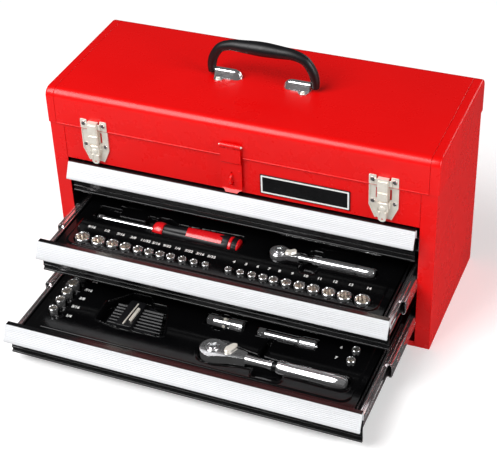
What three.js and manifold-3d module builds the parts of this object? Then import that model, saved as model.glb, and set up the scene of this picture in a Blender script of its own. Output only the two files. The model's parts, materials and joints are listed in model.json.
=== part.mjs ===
// Three-drawer portable tool chest that holds a socket wrench set.
// Millimetres, +Z up, +X to the right, drawers open towards -Y.
// Origin: centre of the chest's base, on the surface it stands on.

import * as THREE from 'three';
import { mergeVertices } from 'three/addons/utils/BufferGeometryUtils.js';
import Module from 'manifold-3d';

const wasm = await Module();
wasm.setup();

// ---------------------------------------------------------------- driving dimensions

const CHEST_WIDTH = 520;            // over the lid
const CHEST_DEPTH = 207.4;          // over the lid
const LID_HEIGHT = 49;              // top compartment's lid, from its lower edge
const FRONT_PANEL_HEIGHT = 51.5;    // red panel between the top drawer and the lid
const DRAWER_COUNT = 3;
const DRAWER_PITCH = 61;
const DRAWER_FRONT_HEIGHT = 49.3;
const FIRST_DRAWER_Z = 13;          // lower edge of the bottom drawer's front

const SHEET = 1.2;                  // sheet steel of case and drawers
const SEAM = 0.3;                   // gap between faces that touch
const LID_CLEARANCE = 0.5;          // lid skirt to body
const LID_EDGE_RADIUS = 12.4;
const LID_END_WIDTH = 12;           // cap at each end of the lid
const RIM_HEIGHT = 8;               // body rim that stands inside the lid
const STILE_WIDTH = 20;
const REAR_FLANGE = 15;
const BASE_LIP_HEIGHT = 8;
const PANEL_RETURN = 12;
const FRONT_HEADROOM = 2.2;         // top drawer's front to the panel above it

const DRAWER_SIDE_CLEARANCE = 4.3;  // drawer front to the stile, each side
const SLIDE_SPACE = 15.7;           // drawer box to the carrier's face, less the clearance above
const DRAWER_REAR_SPACE = 12.1;     // drawer back to the back panel
const DRAWER_BOX_HEIGHT = 34;
const DRAWER_BOX_Z = 4;
const FRONT_PROUD = 0.5;            // drawer front ahead of the body's front plane
const FRONT_FOLD = 5;
const FRONT_BEAD_Z = 21;
const FRONT_BEAD_RADIUS = 1.6;
const MIDDLE_DRAWER_OPEN = 99;
const BOTTOM_DRAWER_OPEN = 197;

const PULL_HEIGHT = 21.8;
const PULL_REACH = 9.8;             // lower lip ahead of the top edge
const PULL_WALL = 1.7;
const PULL_LEG = 9;
const PULL_OVERHANG = 1.2;          // past each end of the drawer front

const SLIDE_HEIGHT = 24;
const SLIDE_Z = 13;                 // above the drawer front's lower edge
const SLIDE_GAP = 0.6;
const SLIDE_FLANGE = 9;
const RAIL_REAR_SPACE = 11.6;       // fixed rails to the back panel
const MOVING_RAIL_SHORTER = 9;      // moving members against the fixed rails

const HINGE_PIN_RADIUS = 1.5;
const HINGE_KNUCKLE_RADIUS = 2.6;
const HINGE_LENGTH = 480;
const HINGE_KNUCKLES = 13;
const HINGE_LEAF_HEIGHT = 19;
const HARDWARE_SHEET = 1;

const LATCH_X = 193;
const LATCH_WIDTH = 37;
const LATCH_PIVOT_DROP = 23.5;      // lever pivot below the lid line
const LATCH_LINK_RADIUS = 8.5;
const LATCH_LEVER_HALF_WIDTH = 5.2;
const LATCH_LEVER_LENGTH = 25;

const HASP_X = -2.5;
const HASP_WIDTH = 27;
const HASP_BARREL_RADIUS = 3;
const HASP_PIN_RADIUS = 1.4;
const HASP_BARREL_RISE = 18;        // hasp pin above the lid line
const HASP_SLOT_DROP = 31;          // middle of the hasp slot below the lid line

const BADGE_X = 92.5;
const BADGE_WIDTH = 117;
const BADGE_HEIGHT = 28;
const BADGE_DROP = 32;              // middle of the badge below the lid line

const HANDLE_HALF_SPAN = 70;
const HANDLE_GRIP_RISE = 42;        // pivot to the grip's centre line
const HANDLE_END_DROP = 1;          // pivot to the cut ends, which clear the lid as they turn
const BRACKET_NOSE = 11;            // pointed inner end of the bracket's tunnel
const HANDLE_ROD_RADIUS = 5.2;
const HANDLE_GRIP_RADIUS = 9.5;
const HANDLE_PIN_RADIUS = 3.4;
const BRACKET_LENGTH = 36;
const BRACKET_INNER_RADIUS = 4.2;

const TRAY_TOP_Z = 38;
const TRAY_WALL = 1.5;
const TRAY_SIDE_GAP = 2.5;
const TRAY_FRONT_SETBACK = 8;
const TOOL_CLEARANCE = 0.6;         // tool to the walls of its recess
const SMALL_SOCKET_HEIGHT = 24;
const DEEP_SOCKET_HEIGHT = 26;
const SOCKET_WELL_DEPTH = 18;

// ---------------------------------------------------------------- derived places

const halfWidth = CHEST_WIDTH / 2;
const halfDepth = CHEST_DEPTH / 2;
const topDrawerZ = FIRST_DRAWER_Z + (DRAWER_COUNT - 1) * DRAWER_PITCH;
const openingTop = topDrawerZ + DRAWER_FRONT_HEIGHT + FRONT_HEADROOM;
const lidLine = openingTop + FRONT_PANEL_HEIGHT;
const lidTop = lidLine + LID_HEIGHT;
const bodyHalfWidth = halfWidth - SHEET - LID_CLEARANCE;
const bodyHalfDepth = halfDepth - SHEET - LID_CLEARANCE;
const bodyFront = -bodyHalfDepth;
const panelInside = bodyFront + SHEET;
const stileEdge = bodyHalfWidth - STILE_WIDTH;
const carrierFace = stileEdge + SHEET;
const drawerFrontHalf = stileEdge - DRAWER_SIDE_CLEARANCE;
const drawerBoxHalf = carrierFace - SLIDE_SPACE - SHEET / 2;
const drawerFrontY = bodyFront - FRONT_PROUD;
const hingeY = halfDepth + SEAM + HINGE_KNUCKLE_RADIUS;
const seamOut = HARDWARE_SHEET + SEAM;
const drawerBoxDepth = bodyHalfDepth - SHEET - DRAWER_REAR_SPACE - (drawerFrontY + SHEET);
const railFront = panelInside + 1;
const cabinetRailLength = bodyHalfDepth - SHEET - RAIL_REAR_SPACE - railFront;
const movingRailLength = cabinetRailLength - MOVING_RAIL_SHORTER;
const latchPivotZ = lidLine - LATCH_PIVOT_DROP;
const haspBarrelZ = lidLine + HASP_BARREL_RISE;
const haspSlotZ = lidLine - HASP_SLOT_DROP;
const badgeZ = lidLine - BADGE_DROP;

// ---------------------------------------------------------------- solids and joins

function solid(geometry) {
  geometry.deleteAttribute('normal');
  geometry.deleteAttribute('uv');
  const merged = mergeVertices(geometry, 1e-4);
  const mesh = new wasm.Mesh({
    numProp: 3,
    vertProperties: new Float32Array(merged.attributes.position.array),
    triVerts: new Uint32Array(merged.index.array),
  });
  return new wasm.Manifold(mesh);
}

function join(...solids) {
  return solids.reduce((sum, next) => sum.add(next));
}

function cut(body, ...tools) {
  return tools.reduce((rest, tool) => rest.subtract(tool), body);
}

function box([x0, x1], [y0, y1], [z0, z1]) {
  const geometry = new THREE.BoxGeometry(x1 - x0, y1 - y0, z1 - z0);
  geometry.translate((x0 + x1) / 2, (y0 + y1) / 2, (z0 + z1) / 2);
  return solid(geometry);
}

function around(centre, half) {
  return [centre - half, centre + half];
}

function ordered(a, b) {
  return a < b ? [a, b] : [b, a];
}

// Outline points become a prism along X (points are y, z), Y (x, z) or Z (x, y).
function prism(axis, points, from, to, curveSegments = 3) {
  const outline = points instanceof THREE.Shape
    ? points
    : new THREE.Shape(points.map(([a, b]) => new THREE.Vector2(a, b)));
  const settings = { depth: to - from, bevelEnabled: false, curveSegments };
  const geometry = new THREE.ExtrudeGeometry(outline, settings);
  geometry.translate(0, 0, from);
  const turn = new THREE.Matrix4();
  if (axis === 'x') {
    turn.makeBasis(new THREE.Vector3(0, 1, 0), new THREE.Vector3(0, 0, 1), new THREE.Vector3(1, 0, 0));
  }
  if (axis === 'y') {
    geometry.translate(0, 0, -from - to);
    turn.makeRotationX(Math.PI / 2);
  }
  geometry.applyMatrix4(turn);
  return solid(geometry);
}

// Round bar along an axis through a point given by its other two coordinates.
function rod(axis, radius, from, to, [a, b], sides = 16) {
  const geometry = new THREE.CylinderGeometry(radius, radius, to - from, sides);
  const middle = (from + to) / 2;
  if (axis === 'x') {
    geometry.rotateZ(Math.PI / 2);
    geometry.translate(middle, a, b);
  } else if (axis === 'y') {
    geometry.translate(a, middle, b);
  } else {
    geometry.rotateX(Math.PI / 2);
    geometry.translate(a, b, middle);
  }
  return solid(geometry);
}

// Turned part along X or Z: profile pairs are (radius, distance along the axis).
function turned(axis, profile, [a, b, c], sides = 16) {
  const points = profile.map(([radius, along]) => new THREE.Vector2(radius, along));
  const geometry = new THREE.LatheGeometry(points, sides);
  if (axis === 'x') {
    geometry.rotateZ(-Math.PI / 2);
  } else {
    geometry.rotateX(Math.PI / 2);
  }
  geometry.translate(a, b, c);
  return solid(geometry);
}

function roundedRect([x0, x1], [y0, y1], radius) {
  const shape = new THREE.Shape();
  shape.moveTo(x0 + radius, y0);
  shape.lineTo(x1 - radius, y0);
  shape.absarc(x1 - radius, y0 + radius, radius, -Math.PI / 2, 0);
  shape.lineTo(x1, y1 - radius);
  shape.absarc(x1 - radius, y1 - radius, radius, 0, Math.PI / 2);
  shape.lineTo(x0 + radius, y1);
  shape.absarc(x0 + radius, y1 - radius, radius, Math.PI / 2, Math.PI);
  shape.lineTo(x0, y0 + radius);
  shape.absarc(x0 + radius, y0 + radius, radius, Math.PI, 1.5 * Math.PI);
  return shape;
}

function mirroredX(body) {
  return body.mirror([1, 0, 0]);
}

// ---------------------------------------------------------------- finishes

const FINISHES = {
  red_powder_coat: [0xc8141c, 0.28, 0],
  black_paint: [0x17181b, 0.4, 0],
  black_tray: [0x0c0e10, 0.22, 0],
  black_grip: [0x1b1c20, 0.45, 0],
  aluminium: [0xdcdcde, 0.35, 0.9],
  zinc: [0xa9adb3, 0.38, 0.9],
  nickel: [0xcfcdc6, 0.25, 1],
  chrome: [0xe6e6ea, 0.1, 1],
};

function piece(group, name, body, finish) {
  const { vertProperties, triVerts } = body.getMesh();
  const geometry = new THREE.BufferGeometry();
  geometry.setAttribute('position', new THREE.BufferAttribute(new Float32Array(vertProperties), 3));
  geometry.setIndex(new THREE.BufferAttribute(new Uint32Array(triVerts), 1));
  const [color, roughness, metalness] = FINISHES[finish];
  const mesh = new THREE.Mesh(geometry, new THREE.MeshStandardMaterial({ color, roughness, metalness }));
  mesh.name = name;
  group.add(mesh);
  return mesh;
}

const SIDES = [['left', -1], ['right', 1]];

function onSide(side, body) {
  return side < 0 ? mirroredX(body) : body;
}

const chest = new THREE.Group();

// ---------------------------------------------------------------- case body

function sidePanel() {
  const outer = [bodyHalfWidth - SHEET, bodyHalfWidth];
  const web = box(outer, [bodyFront, bodyHalfDepth], [0, lidLine + RIM_HEIGHT]);
  const stile = box([stileEdge, bodyHalfWidth], [bodyFront, panelInside], [0, lidLine + RIM_HEIGHT]);
  const rearY = bodyHalfDepth - SHEET - SEAM;
  const rear = box(
    [bodyHalfWidth - REAR_FLANGE, bodyHalfWidth],
    [rearY - SHEET, rearY],
    [BASE_LIP_HEIGHT, lidLine - SEAM],
  );
  return join(web, stile, rear);
}

function buildCase(group) {
  for (const [name, side] of SIDES) {
    piece(group, `${name}_side_panel`, onSide(side, sidePanel()), 'red_powder_coat');
  }

  const insideHalf = bodyHalfWidth - SHEET - SEAM;
  const back = box([-insideHalf, insideHalf], [bodyHalfDepth - SHEET, bodyHalfDepth], [0, lidLine - SEAM]);
  piece(group, 'back_panel', back, 'red_powder_coat');

  const lipHalf = stileEdge - SEAM;
  const baseBack = bodyHalfDepth - SHEET - SEAM;
  const base = join(
    box([-insideHalf, insideHalf], [panelInside + SEAM, baseBack], [0, SHEET]),
    box([-lipHalf, lipHalf], [bodyFront, panelInside + SEAM + SHEET], [0, SHEET]),
    box([-lipHalf, lipHalf], [bodyFront, panelInside], [0, BASE_LIP_HEIGHT]),
  );
  piece(group, 'base_panel', base, 'red_powder_coat');

  const front = join(
    box([-lipHalf, lipHalf], [bodyFront, panelInside], [openingTop, lidLine + RIM_HEIGHT]),
    box([-lipHalf, lipHalf], [bodyFront, bodyFront + PANEL_RETURN], [openingTop, openingTop + SHEET]),
  );
  piece(group, 'front_panel', front, 'red_powder_coat');

  const floorZ = openingTop + SHEET + SEAM;
  const floorBack = baseBack - SHEET - SEAM;
  const floor = box([-insideHalf, insideHalf], [panelInside + SEAM, floorBack], [floorZ, floorZ + SHEET]);
  piece(group, 'compartment_floor', floor, 'red_powder_coat');
  return floorZ;
}

// ---------------------------------------------------------------- drawer slides

const slideBands = {
  cabinet: SHEET + SLIDE_GAP,
  middle: 2 * (SHEET + SLIDE_GAP),
};

function channel(webX, openTowards, z0, height, y0, length) {
  const flangeX = webX + openTowards * SLIDE_FLANGE;
  const span = ordered(webX, flangeX);
  const along = [y0, y0 + length];
  return join(
    box(ordered(webX, webX + openTowards * SHEET), along, [z0, z0 + height]),
    box(span, along, [z0, z0 + SHEET]),
    box(span, along, [z0 + height - SHEET, z0 + height]),
  );
}

function slideCarrier(floorZ) {
  const top = floorZ - SEAM;
  const outer = bodyHalfWidth - SHEET - SEAM;
  const y = [railFront, railFront + cabinetRailLength];
  const wall = join(
    box([carrierFace, carrierFace + SHEET], y, [SHEET + SEAM, top]),
    box([carrierFace, outer], y, [top - SHEET, top]),
    box([carrierFace, outer], y, [SHEET + SEAM, 2 * SHEET + SEAM]),
  );
  const rails = [];
  for (let i = 0; i < DRAWER_COUNT; i += 1) {
    const z = FIRST_DRAWER_Z + i * DRAWER_PITCH + SLIDE_Z;
    rails.push(channel(carrierFace + SHEET / 2, -1, z, SLIDE_HEIGHT, railFront, cabinetRailLength));
  }
  return join(wall, ...rails);
}

function middleRail() {
  const inset = slideBands.cabinet;
  const webX = carrierFace - inset + SHEET / 2;
  return channel(webX, -1, SLIDE_Z + inset, SLIDE_HEIGHT - 2 * inset, railFront, movingRailLength);
}

function drawerRail() {
  const inset = slideBands.middle;
  const webX = drawerBoxHalf + SEAM;
  return channel(webX, 1, SLIDE_Z + inset, SLIDE_HEIGHT - 2 * inset, railFront, movingRailLength);
}

// ---------------------------------------------------------------- drawers

function drawerShell() {
  const inside = drawerFrontY + SHEET;
  const front = [-drawerFrontHalf, drawerFrontHalf];
  const back = inside + drawerBoxDepth;
  const boxTop = DRAWER_BOX_Z + DRAWER_BOX_HEIGHT;
  const beadEnd = drawerFrontHalf - 4;
  const bead = rod('x', FRONT_BEAD_RADIUS, -beadEnd, beadEnd, [drawerFrontY, FRONT_BEAD_Z], 10);
  const wallX = drawerBoxHalf - SHEET;
  return join(
    box(front, [drawerFrontY, inside], [0, DRAWER_FRONT_HEIGHT]),
    box(front, [drawerFrontY - FRONT_FOLD, inside], [DRAWER_FRONT_HEIGHT - SHEET, DRAWER_FRONT_HEIGHT]),
    box(front, [drawerFrontY, inside + FRONT_FOLD], [0, SHEET]),
    bead,
    box([-drawerBoxHalf, drawerBoxHalf], [drawerFrontY, back], [DRAWER_BOX_Z, DRAWER_BOX_Z + SHEET]),
    box([-drawerBoxHalf, -wallX], [drawerFrontY, back], [DRAWER_BOX_Z, boxTop]),
    box([wallX, drawerBoxHalf], [drawerFrontY, back], [DRAWER_BOX_Z, boxTop]),
    box([-drawerBoxHalf, drawerBoxHalf], [back - SHEET, back], [DRAWER_BOX_Z, boxTop]),
  );
}

function drawerPull() {
  const topY = drawerFrontY - FRONT_FOLD - SEAM;
  const top = DRAWER_FRONT_HEIGHT;
  const lipY = topY - PULL_REACH;
  const lipZ = top - PULL_HEIGHT;
  const slope = PULL_REACH / (PULL_HEIGHT - PULL_WALL);
  const under = top - SHEET - SEAM;
  const webZ = under - PULL_WALL;
  const legY = drawerFrontY - SEAM;
  const outline = [
    [topY, top],
    [lipY, lipZ + PULL_WALL],
    [lipY, lipZ],
    [lipY + 2 * PULL_WALL, lipZ],
    [lipY + 2 * PULL_WALL, lipZ + PULL_WALL],
    [lipY + PULL_WALL, lipZ + PULL_WALL],
    [topY - slope * (top - webZ) + PULL_WALL, webZ],
    [legY - PULL_WALL, webZ],
    [legY - PULL_WALL, webZ - PULL_LEG],
    [legY, webZ - PULL_LEG],
    [legY, under],
    [topY, under],
  ];
  const half = drawerFrontHalf + PULL_OVERHANG;
  return prism('x', outline, -half, half);
}

// ---------------------------------------------------------------- tools

const trayFrontY = drawerFrontY + SHEET + TRAY_FRONT_SETBACK;
const trayHalf = drawerBoxHalf - SHEET - TRAY_SIDE_GAP;
const trayDepth = drawerBoxDepth - SHEET - TRAY_FRONT_SETBACK - TRAY_SIDE_GAP;
const trayFloor = DRAWER_BOX_Z + SHEET + SEAM;

// Sockets: place along the row and outer radius, biggest first on the left row.
const FRACTION_ROW = [
  [-190.3, 9.8], [-167.6, 9.2], [-147, 8.2], [-128.5, 7.4], [-110.5, 6.6], [-95, 6.2],
  [-79.4, 5.9], [-64.7, 5.7], [-48.5, 5.4], [-32.5, 4.9], [-16.6, 4.5],
];
const METRIC_ROW = [
  [14.3, 4.5], [30.5, 4.9], [46.1, 5.3], [61, 5.6], [74.8, 5.9], [91.5, 6.4],
  [108.8, 7.1], [126.8, 7.7], [146.6, 8.4], [166.6, 9], [189.5, 9.6],
];
const SOCKET_ROW = [...FRACTION_ROW, ...METRIC_ROW];
const DEEP_ROW = [[-55, 5.6], [-36, 6.3], [-18, 7.2], [0, 8], [19, 9]];
const LOOSE_ROW = [[-14, 5.6], [6, 5.2]];

const SOCKET_ROW_Y = -69.5;
const DEEP_ROW_X = -195.5;
const LOOSE_ROW_X = 190;
const wellFloor = TRAY_TOP_Z - SOCKET_WELL_DEPTH;
const socketSeat = wellFloor + SEAM;

function socket(radius, height, x, y) {
  const bore = radius * 0.68;
  const outer = rod('z', radius, socketSeat, socketSeat + height, [x, y], 12);
  const mouth = rod('z', bore, socketSeat + height / 2, socketSeat + height + 1, [x, y], 6);
  return cut(outer, mouth);
}

function socketRow(row, height, place) {
  const strip = 1;
  const spots = row.map(([along, radius]) => [...place(along), radius]);
  const xs = spots.map(([x]) => x);
  const ys = spots.map(([, y]) => y);
  const seat = box(
    [Math.min(...xs) - strip, Math.max(...xs) + strip],
    [Math.min(...ys) - strip, Math.max(...ys) + strip],
    [socketSeat, socketSeat + strip],
  );
  return join(seat, ...spots.map(([x, y, radius]) => socket(radius, height, x, y)));
}

const DRIVER = { y: -14, gripFrom: -113.5, gripTo: 8.5, shaftFrom: -189.5, radius: 12.5 };
const driverZ = TRAY_TOP_Z - 6;

function driverHandle() {
  const { y, gripFrom, gripTo, shaftFrom, radius } = DRIVER;
  const length = gripTo - gripFrom;
  const profile = [
    [0, 0], [6, 0], [6.5, 14], [9, 20], [radius, 0.45 * length], [radius + 0.8, 0.7 * length],
    [radius - 1, 0.93 * length], [radius - 4, length], [0, length],
  ];
  const grip = turned('x', profile, [gripFrom, y, driverZ], 12);
  const shaft = rod('x', 3.2, shaftFrom, gripFrom + 1, [y, driverZ], 10);
  const square = box([shaftFrom - 7, shaftFrom + 1], around(y, 3.15), around(driverZ, 3.15));
  return join(grip, shaft, square);
}

const SMALL_RATCHET = { y: -16, headX: 62, gripFrom: 108, gripTo: 188, z: TRAY_TOP_Z + 1 };

function smallRatchet() {
  const { y, headX, gripFrom, gripTo, z } = SMALL_RATCHET;
  const head = rod('z', 12, z - 5, z + 5, [headX, y], 20);
  const taper = [[headX, y - 11], [headX + 26, y - 4], [headX + 26, y + 4], [headX, y + 11]];
  const tail = prism('z', taper, z - 4, z + 4);
  const neck = rod('x', 4, headX + 22, gripFrom + 2, [y, z], 10);
  const length = gripTo - gripFrom;
  const profile = [
    [0, 0], [5, 0], [6.5, 4], [6, length / 2], [6.8, length - 6], [5, length], [0, length],
  ];
  const grip = turned('x', profile, [gripFrom, y, z], 12);
  const boss = rod('z', 6, z + 4, z + 6.5, [headX, y], 14);
  const drive = box(around(headX, 3.15), around(y, 3.15), [z - 13, z - 4]);
  return join(head, tail, neck, grip, boss, drive, rod('x', 2, gripTo - 2, gripTo + 2, [y, z], 8));
}

const SHORT_BAR = { y: -1, from: 65, to: 141, z: TRAY_TOP_Z - 1 };

function extensionBar({ y, from, to, z }, rodRadius, collarRadius, squareHalf) {
  const collarLength = 22;
  return join(
    rod('x', rodRadius, from + 7, to - collarLength + 1, [y, z], 12),
    box([from, from + 8], around(y, squareHalf), around(z, squareHalf)),
    cut(
      rod('x', collarRadius, to - collarLength, to, [y, z], 14),
      box([to - 10, to + 1], around(y, squareHalf + 0.1), around(z, squareHalf + 0.1)),
    ),
  );
}

const UNIVERSAL = { y: 1, from: -4, to: 45, z: TRAY_TOP_Z - 1 };

function universalJoint() {
  const { y, from, to, z } = UNIVERSAL;
  const fork = (x0, x1, flip) => {
    const [acrossY, acrossZ] = flip ? [3, 9] : [9, 3];
    const slot = box([x0 - 1, x1 + 1], around(y, acrossY), around(z, acrossZ));
    return cut(rod('x', 7, x0, x1, [y, z], 14), slot);
  };
  return join(
    box([from, from + 9], around(y, 4.7), around(z, 4.7)),
    rod('x', 7, from + 8, from + 15, [y, z], 14),
    fork(from + 15, from + 27, true),
    box(around(from + 23, 4), around(y, 4), around(z, 4)),
    fork(from + 20, from + 33, false),
    cut(rod('x', 8, from + 32.9, to, [y, z], 16), box([to - 10, to + 1], around(y, 4.8), around(z, 4.8))),
  );
}

const KEYS = { x: -91, y: -20, width: 72, depth: 58, z: TRAY_TOP_Z - 12, height: 13 };

function hexKeySet() {
  const { x, y, width, depth, z, height } = KEYS;
  const holder = prism('z', roundedRect(around(x, width / 2), around(y, depth / 2), 6), z, z + 4);
  const keys = [];
  const count = 7;
  for (let i = 0; i < count; i += 1) {
    const radius = 1.1 + 0.28 * i;
    const keyY = y - depth / 2 + 6 + i * (depth - 12) / (count - 1);
    keys.push(rod('x', radius, x - width / 2 + 4, x + width / 2 - 4, [keyY, z + 4], 6));
  }
  const spine = box(around(x - width / 2 + 10, 4), around(y, depth / 2 - 4), [z + 3, z + height]);
  return join(holder, ...keys, spine);
}

const LARGE_RATCHET = { y: -55, headX: 26, leverX: 46, gripFrom: 110, gripTo: 199, z: TRAY_TOP_Z + 1 };
const GEAR_RADIUS = 9;
const GEAR_CLEARANCE = 0.4;

function largeRatchetBody() {
  const { y, headX, leverX, gripFrom, gripTo, z } = LARGE_RATCHET;
  const head = rod('z', 16, z - 6.5, z + 6.5, [headX, y], 24);
  const outline = [[headX, y - 15.5], [headX + 42, y - 6], [headX + 42, y + 6], [headX, y + 15.5]];
  const tail = prism('z', outline, z - 6, z + 6);
  const neck = rod('x', 5.5, headX + 38, gripFrom + 2, [y, z], 12);
  const length = gripTo - gripFrom;
  const profile = [
    [0, 0], [6, 0], [9, 5], [8.6, length / 2], [9.6, length - 11], [7, length], [0, length],
  ];
  const grip = turned('x', profile, [gripFrom, y, z], 14);
  const bore = rod('z', GEAR_RADIUS + GEAR_CLEARANCE, z - 9, z + 9, [headX, y], 24);
  const leverSeat = rod('z', 4 + GEAR_CLEARANCE, z + 2, z + 9, [leverX, y], 14);
  return cut(join(head, tail, neck, grip), bore, leverSeat);
}

function largeRatchetGear() {
  const { y, headX, z } = LARGE_RATCHET;
  return join(
    rod('z', GEAR_RADIUS, z - 6, z + 7.5, [headX, y], 24),
    rod('z', 5, z + 7, z + 9, [headX, y], 16),
    box(around(headX, 4.7), around(y, 4.7), [z - 17, z - 5]),
  );
}

function largeRatchetLever() {
  const { y, leverX, z } = LARGE_RATCHET;
  const outline = [
    [leverX - 3, y - 3.5], [leverX + 4, y - 3], [leverX + 9, y + 12],
    [leverX + 4, y + 13], [leverX - 3, y + 4],
  ];
  return join(rod('z', 4, z + 2.5, z + 7.5, [leverX, y], 14), prism('z', outline, z + 7, z + 9.5));
}

// ---------------------------------------------------------------- trays

// A tray is a formed deck with a skirt; each recess is a thin-walled well below the deck.
function tray(wells) {
  const outline = (grow) => roundedRect(
    [-trayHalf - grow, trayHalf + grow],
    [trayFrontY - grow, trayFrontY + trayDepth + grow],
    6,
  );
  const top = TRAY_TOP_Z;
  const block = prism('z', outline(0), trayFloor, top);
  const hollow = prism('z', outline(-TRAY_WALL), trayFloor - 1, top - TRAY_WALL);
  const shell = cut(block, hollow);
  const grown = ([low, high]) => [low - TRAY_WALL, high + TRAY_WALL];
  const corner = 3;
  const outers = wells.map(({ x, y, floor, radius = corner }) => {
    const wall = roundedRect(grown(x), grown(y), radius + TRAY_WALL);
    return prism('z', wall, floor - TRAY_WALL, top - TRAY_WALL / 2, 2);
  });
  const inners = wells.map(({ x, y, floor, radius = corner }) => (
    prism('z', roundedRect(x, y, radius), floor, top + 1, 2)
  ));
  return cut(join(shell, ...outers), ...inners);
}

const clear = TOOL_CLEARANCE;
const LONG_BAR_WELL = { x: [45, 188], y: [22, 34] };
const SPARE_WELL = { x: [-200, -168], y: [-17.5, 3] };

// Slot that one row of sockets stands in, with its long way along X or Y.
function rowWell(row, across, lengthwise = 'x') {
  const deepest = Math.max(...row.map(([, radius]) => radius)) + clear;
  const [first, firstRadius] = row[0];
  const [last, lastRadius] = row[row.length - 1];
  const run = [first - firstRadius - clear, last + lastRadius + clear];
  const width = around(across, deepest);
  return lengthwise === 'x'
    ? { x: run, y: width, floor: wellFloor }
    : { x: width, y: run, floor: wellFloor };
}

function middleTrayWells() {
  const { y, gripFrom, gripTo, shaftFrom, radius } = DRIVER;
  const small = SMALL_RATCHET;
  return [
    rowWell(SOCKET_ROW, SOCKET_ROW_Y),
    { x: [gripFrom - 8, gripTo + clear], y: around(y, radius + 0.8 + clear), floor: driverZ - radius - 2 },
    { x: [shaftFrom - 8, gripFrom - 7], y: around(y, 5), floor: driverZ - 6 },
    { x: [small.headX - 13, small.headX + 13], y: around(small.y, 13), floor: small.z - 14 },
    { x: [small.headX + 6, small.gripTo + 3], y: around(small.y, 8), floor: small.z - 8 },
    { x: LONG_BAR_WELL.x, y: LONG_BAR_WELL.y, floor: TRAY_TOP_Z - 8 },
    { x: SPARE_WELL.x, y: SPARE_WELL.y, floor: TRAY_TOP_Z - 16 },
  ];
}

function bottomTrayWells() {
  const large = LARGE_RATCHET;
  return [
    rowWell(DEEP_ROW, DEEP_ROW_X, 'y'),
    {
      x: around(KEYS.x, KEYS.width / 2 + 12),
      y: around(KEYS.y, KEYS.depth / 2 + 5),
      floor: KEYS.z - SEAM,
      radius: 10,
    },
    { x: [UNIVERSAL.from - 2, UNIVERSAL.to + 2], y: around(UNIVERSAL.y, 9), floor: UNIVERSAL.z - 9 },
    { x: [SHORT_BAR.from - 2, SHORT_BAR.to + 2], y: around(SHORT_BAR.y, 8), floor: SHORT_BAR.z - 8 },
    { x: around(large.headX, 18), y: around(large.y, 17.5), floor: large.z - 18, radius: 8 },
    { x: [large.headX + 8, large.gripFrom + 1], y: around(large.y, 14), floor: large.z - 9 },
    { x: [large.gripFrom - 8, large.gripTo + 2], y: around(large.y, 11), floor: large.z - 11 },
    rowWell(LOOSE_ROW, LOOSE_ROW_X, 'y'),
  ];
}

function buildTools(groups) {
  const [bottom, middle] = groups;
  const alongX = (along) => [along, SOCKET_ROW_Y];
  const alongDeep = (along) => [DEEP_ROW_X, along];
  const alongLoose = (along) => [LOOSE_ROW_X, along];

  piece(middle, 'middle_tray', tray(middleTrayWells()), 'black_tray');
  piece(middle, 'socket_row', socketRow(SOCKET_ROW, SMALL_SOCKET_HEIGHT, alongX), 'chrome');
  piece(middle, 'driver_handle', driverHandle(), 'black_grip');
  piece(middle, 'small_ratchet', smallRatchet(), 'chrome');

  piece(bottom, 'bottom_tray', tray(bottomTrayWells()), 'black_tray');
  piece(bottom, 'deep_socket_row', socketRow(DEEP_ROW, DEEP_SOCKET_HEIGHT, alongDeep), 'chrome');
  piece(bottom, 'loose_metric_sockets', socketRow(LOOSE_ROW, SMALL_SOCKET_HEIGHT, alongLoose), 'chrome');
  piece(bottom, 'hex_key_set', hexKeySet(), 'black_paint');
  piece(bottom, 'universal_joint', universalJoint(), 'chrome');
  piece(bottom, 'short_extension_bar', extensionBar(SHORT_BAR, 4.2, 6.6, 4.7), 'chrome');
  piece(bottom, 'large_ratchet_body', largeRatchetBody(), 'chrome');
  piece(bottom, 'large_ratchet_gear', largeRatchetGear(), 'chrome');
  piece(bottom, 'large_ratchet_lever', largeRatchetLever(), 'chrome');
}

function buildDrawers(group) {
  const names = ['bottom', 'middle', 'top'];
  const open = [BOTTOM_DRAWER_OPEN, MIDDLE_DRAWER_OPEN, 0];
  const groups = [];
  names.forEach((name, i) => {
    const z = FIRST_DRAWER_Z + i * DRAWER_PITCH;
    const drawer = new THREE.Group();
    drawer.position.set(0, -open[i], z);
    const members = new THREE.Group();
    members.position.set(0, -open[i] / 2, z);
    group.add(drawer, members);
    groups.push(drawer);
    piece(drawer, `${name}_drawer`, drawerShell(), 'black_paint');
    piece(drawer, `${name}_drawer_pull`, drawerPull(), 'aluminium');
    for (const [sideName, side] of SIDES) {
      piece(drawer, `${name}_drawer_rail_${sideName}`, onSide(side, drawerRail()), 'zinc');
      piece(members, `${name}_middle_rail_${sideName}`, onSide(side, middleRail()), 'zinc');
    }
  });
  buildTools(groups);
}

// ---------------------------------------------------------------- lid

function lidOutline(inset) {
  const y = halfDepth - inset;
  const top = lidTop - inset;
  const radius = LID_EDGE_RADIUS - inset;
  const shape = new THREE.Shape();
  shape.moveTo(-y, lidLine - (inset ? 1 : 0));
  shape.lineTo(y, lidLine - (inset ? 1 : 0));
  shape.lineTo(y, top - radius);
  shape.absarc(y - radius, top - radius, radius, 0, Math.PI / 2);
  shape.lineTo(radius - y, top);
  shape.absarc(radius - y, top - radius, radius, Math.PI / 2, Math.PI);
  return shape;
}

function buildLid(group) {
  const seamX = halfWidth - LID_END_WIDTH;
  const shellHalf = seamX - SEAM;
  const shell = cut(
    prism('x', lidOutline(0), -shellHalf, shellHalf, 7),
    prism('x', lidOutline(SHEET), -shellHalf - 1, shellHalf + 1, 7),
  );
  piece(group, 'lid_shell', shell, 'red_powder_coat');
  const end = cut(
    prism('x', lidOutline(0), seamX, halfWidth, 7),
    prism('x', lidOutline(SHEET), seamX - 1, halfWidth - SHEET, 7),
  );
  for (const [name, side] of SIDES) {
    piece(group, `lid_end_${name}`, onSide(side, end), 'red_powder_coat');
  }
}

// ---------------------------------------------------------------- hinge

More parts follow.
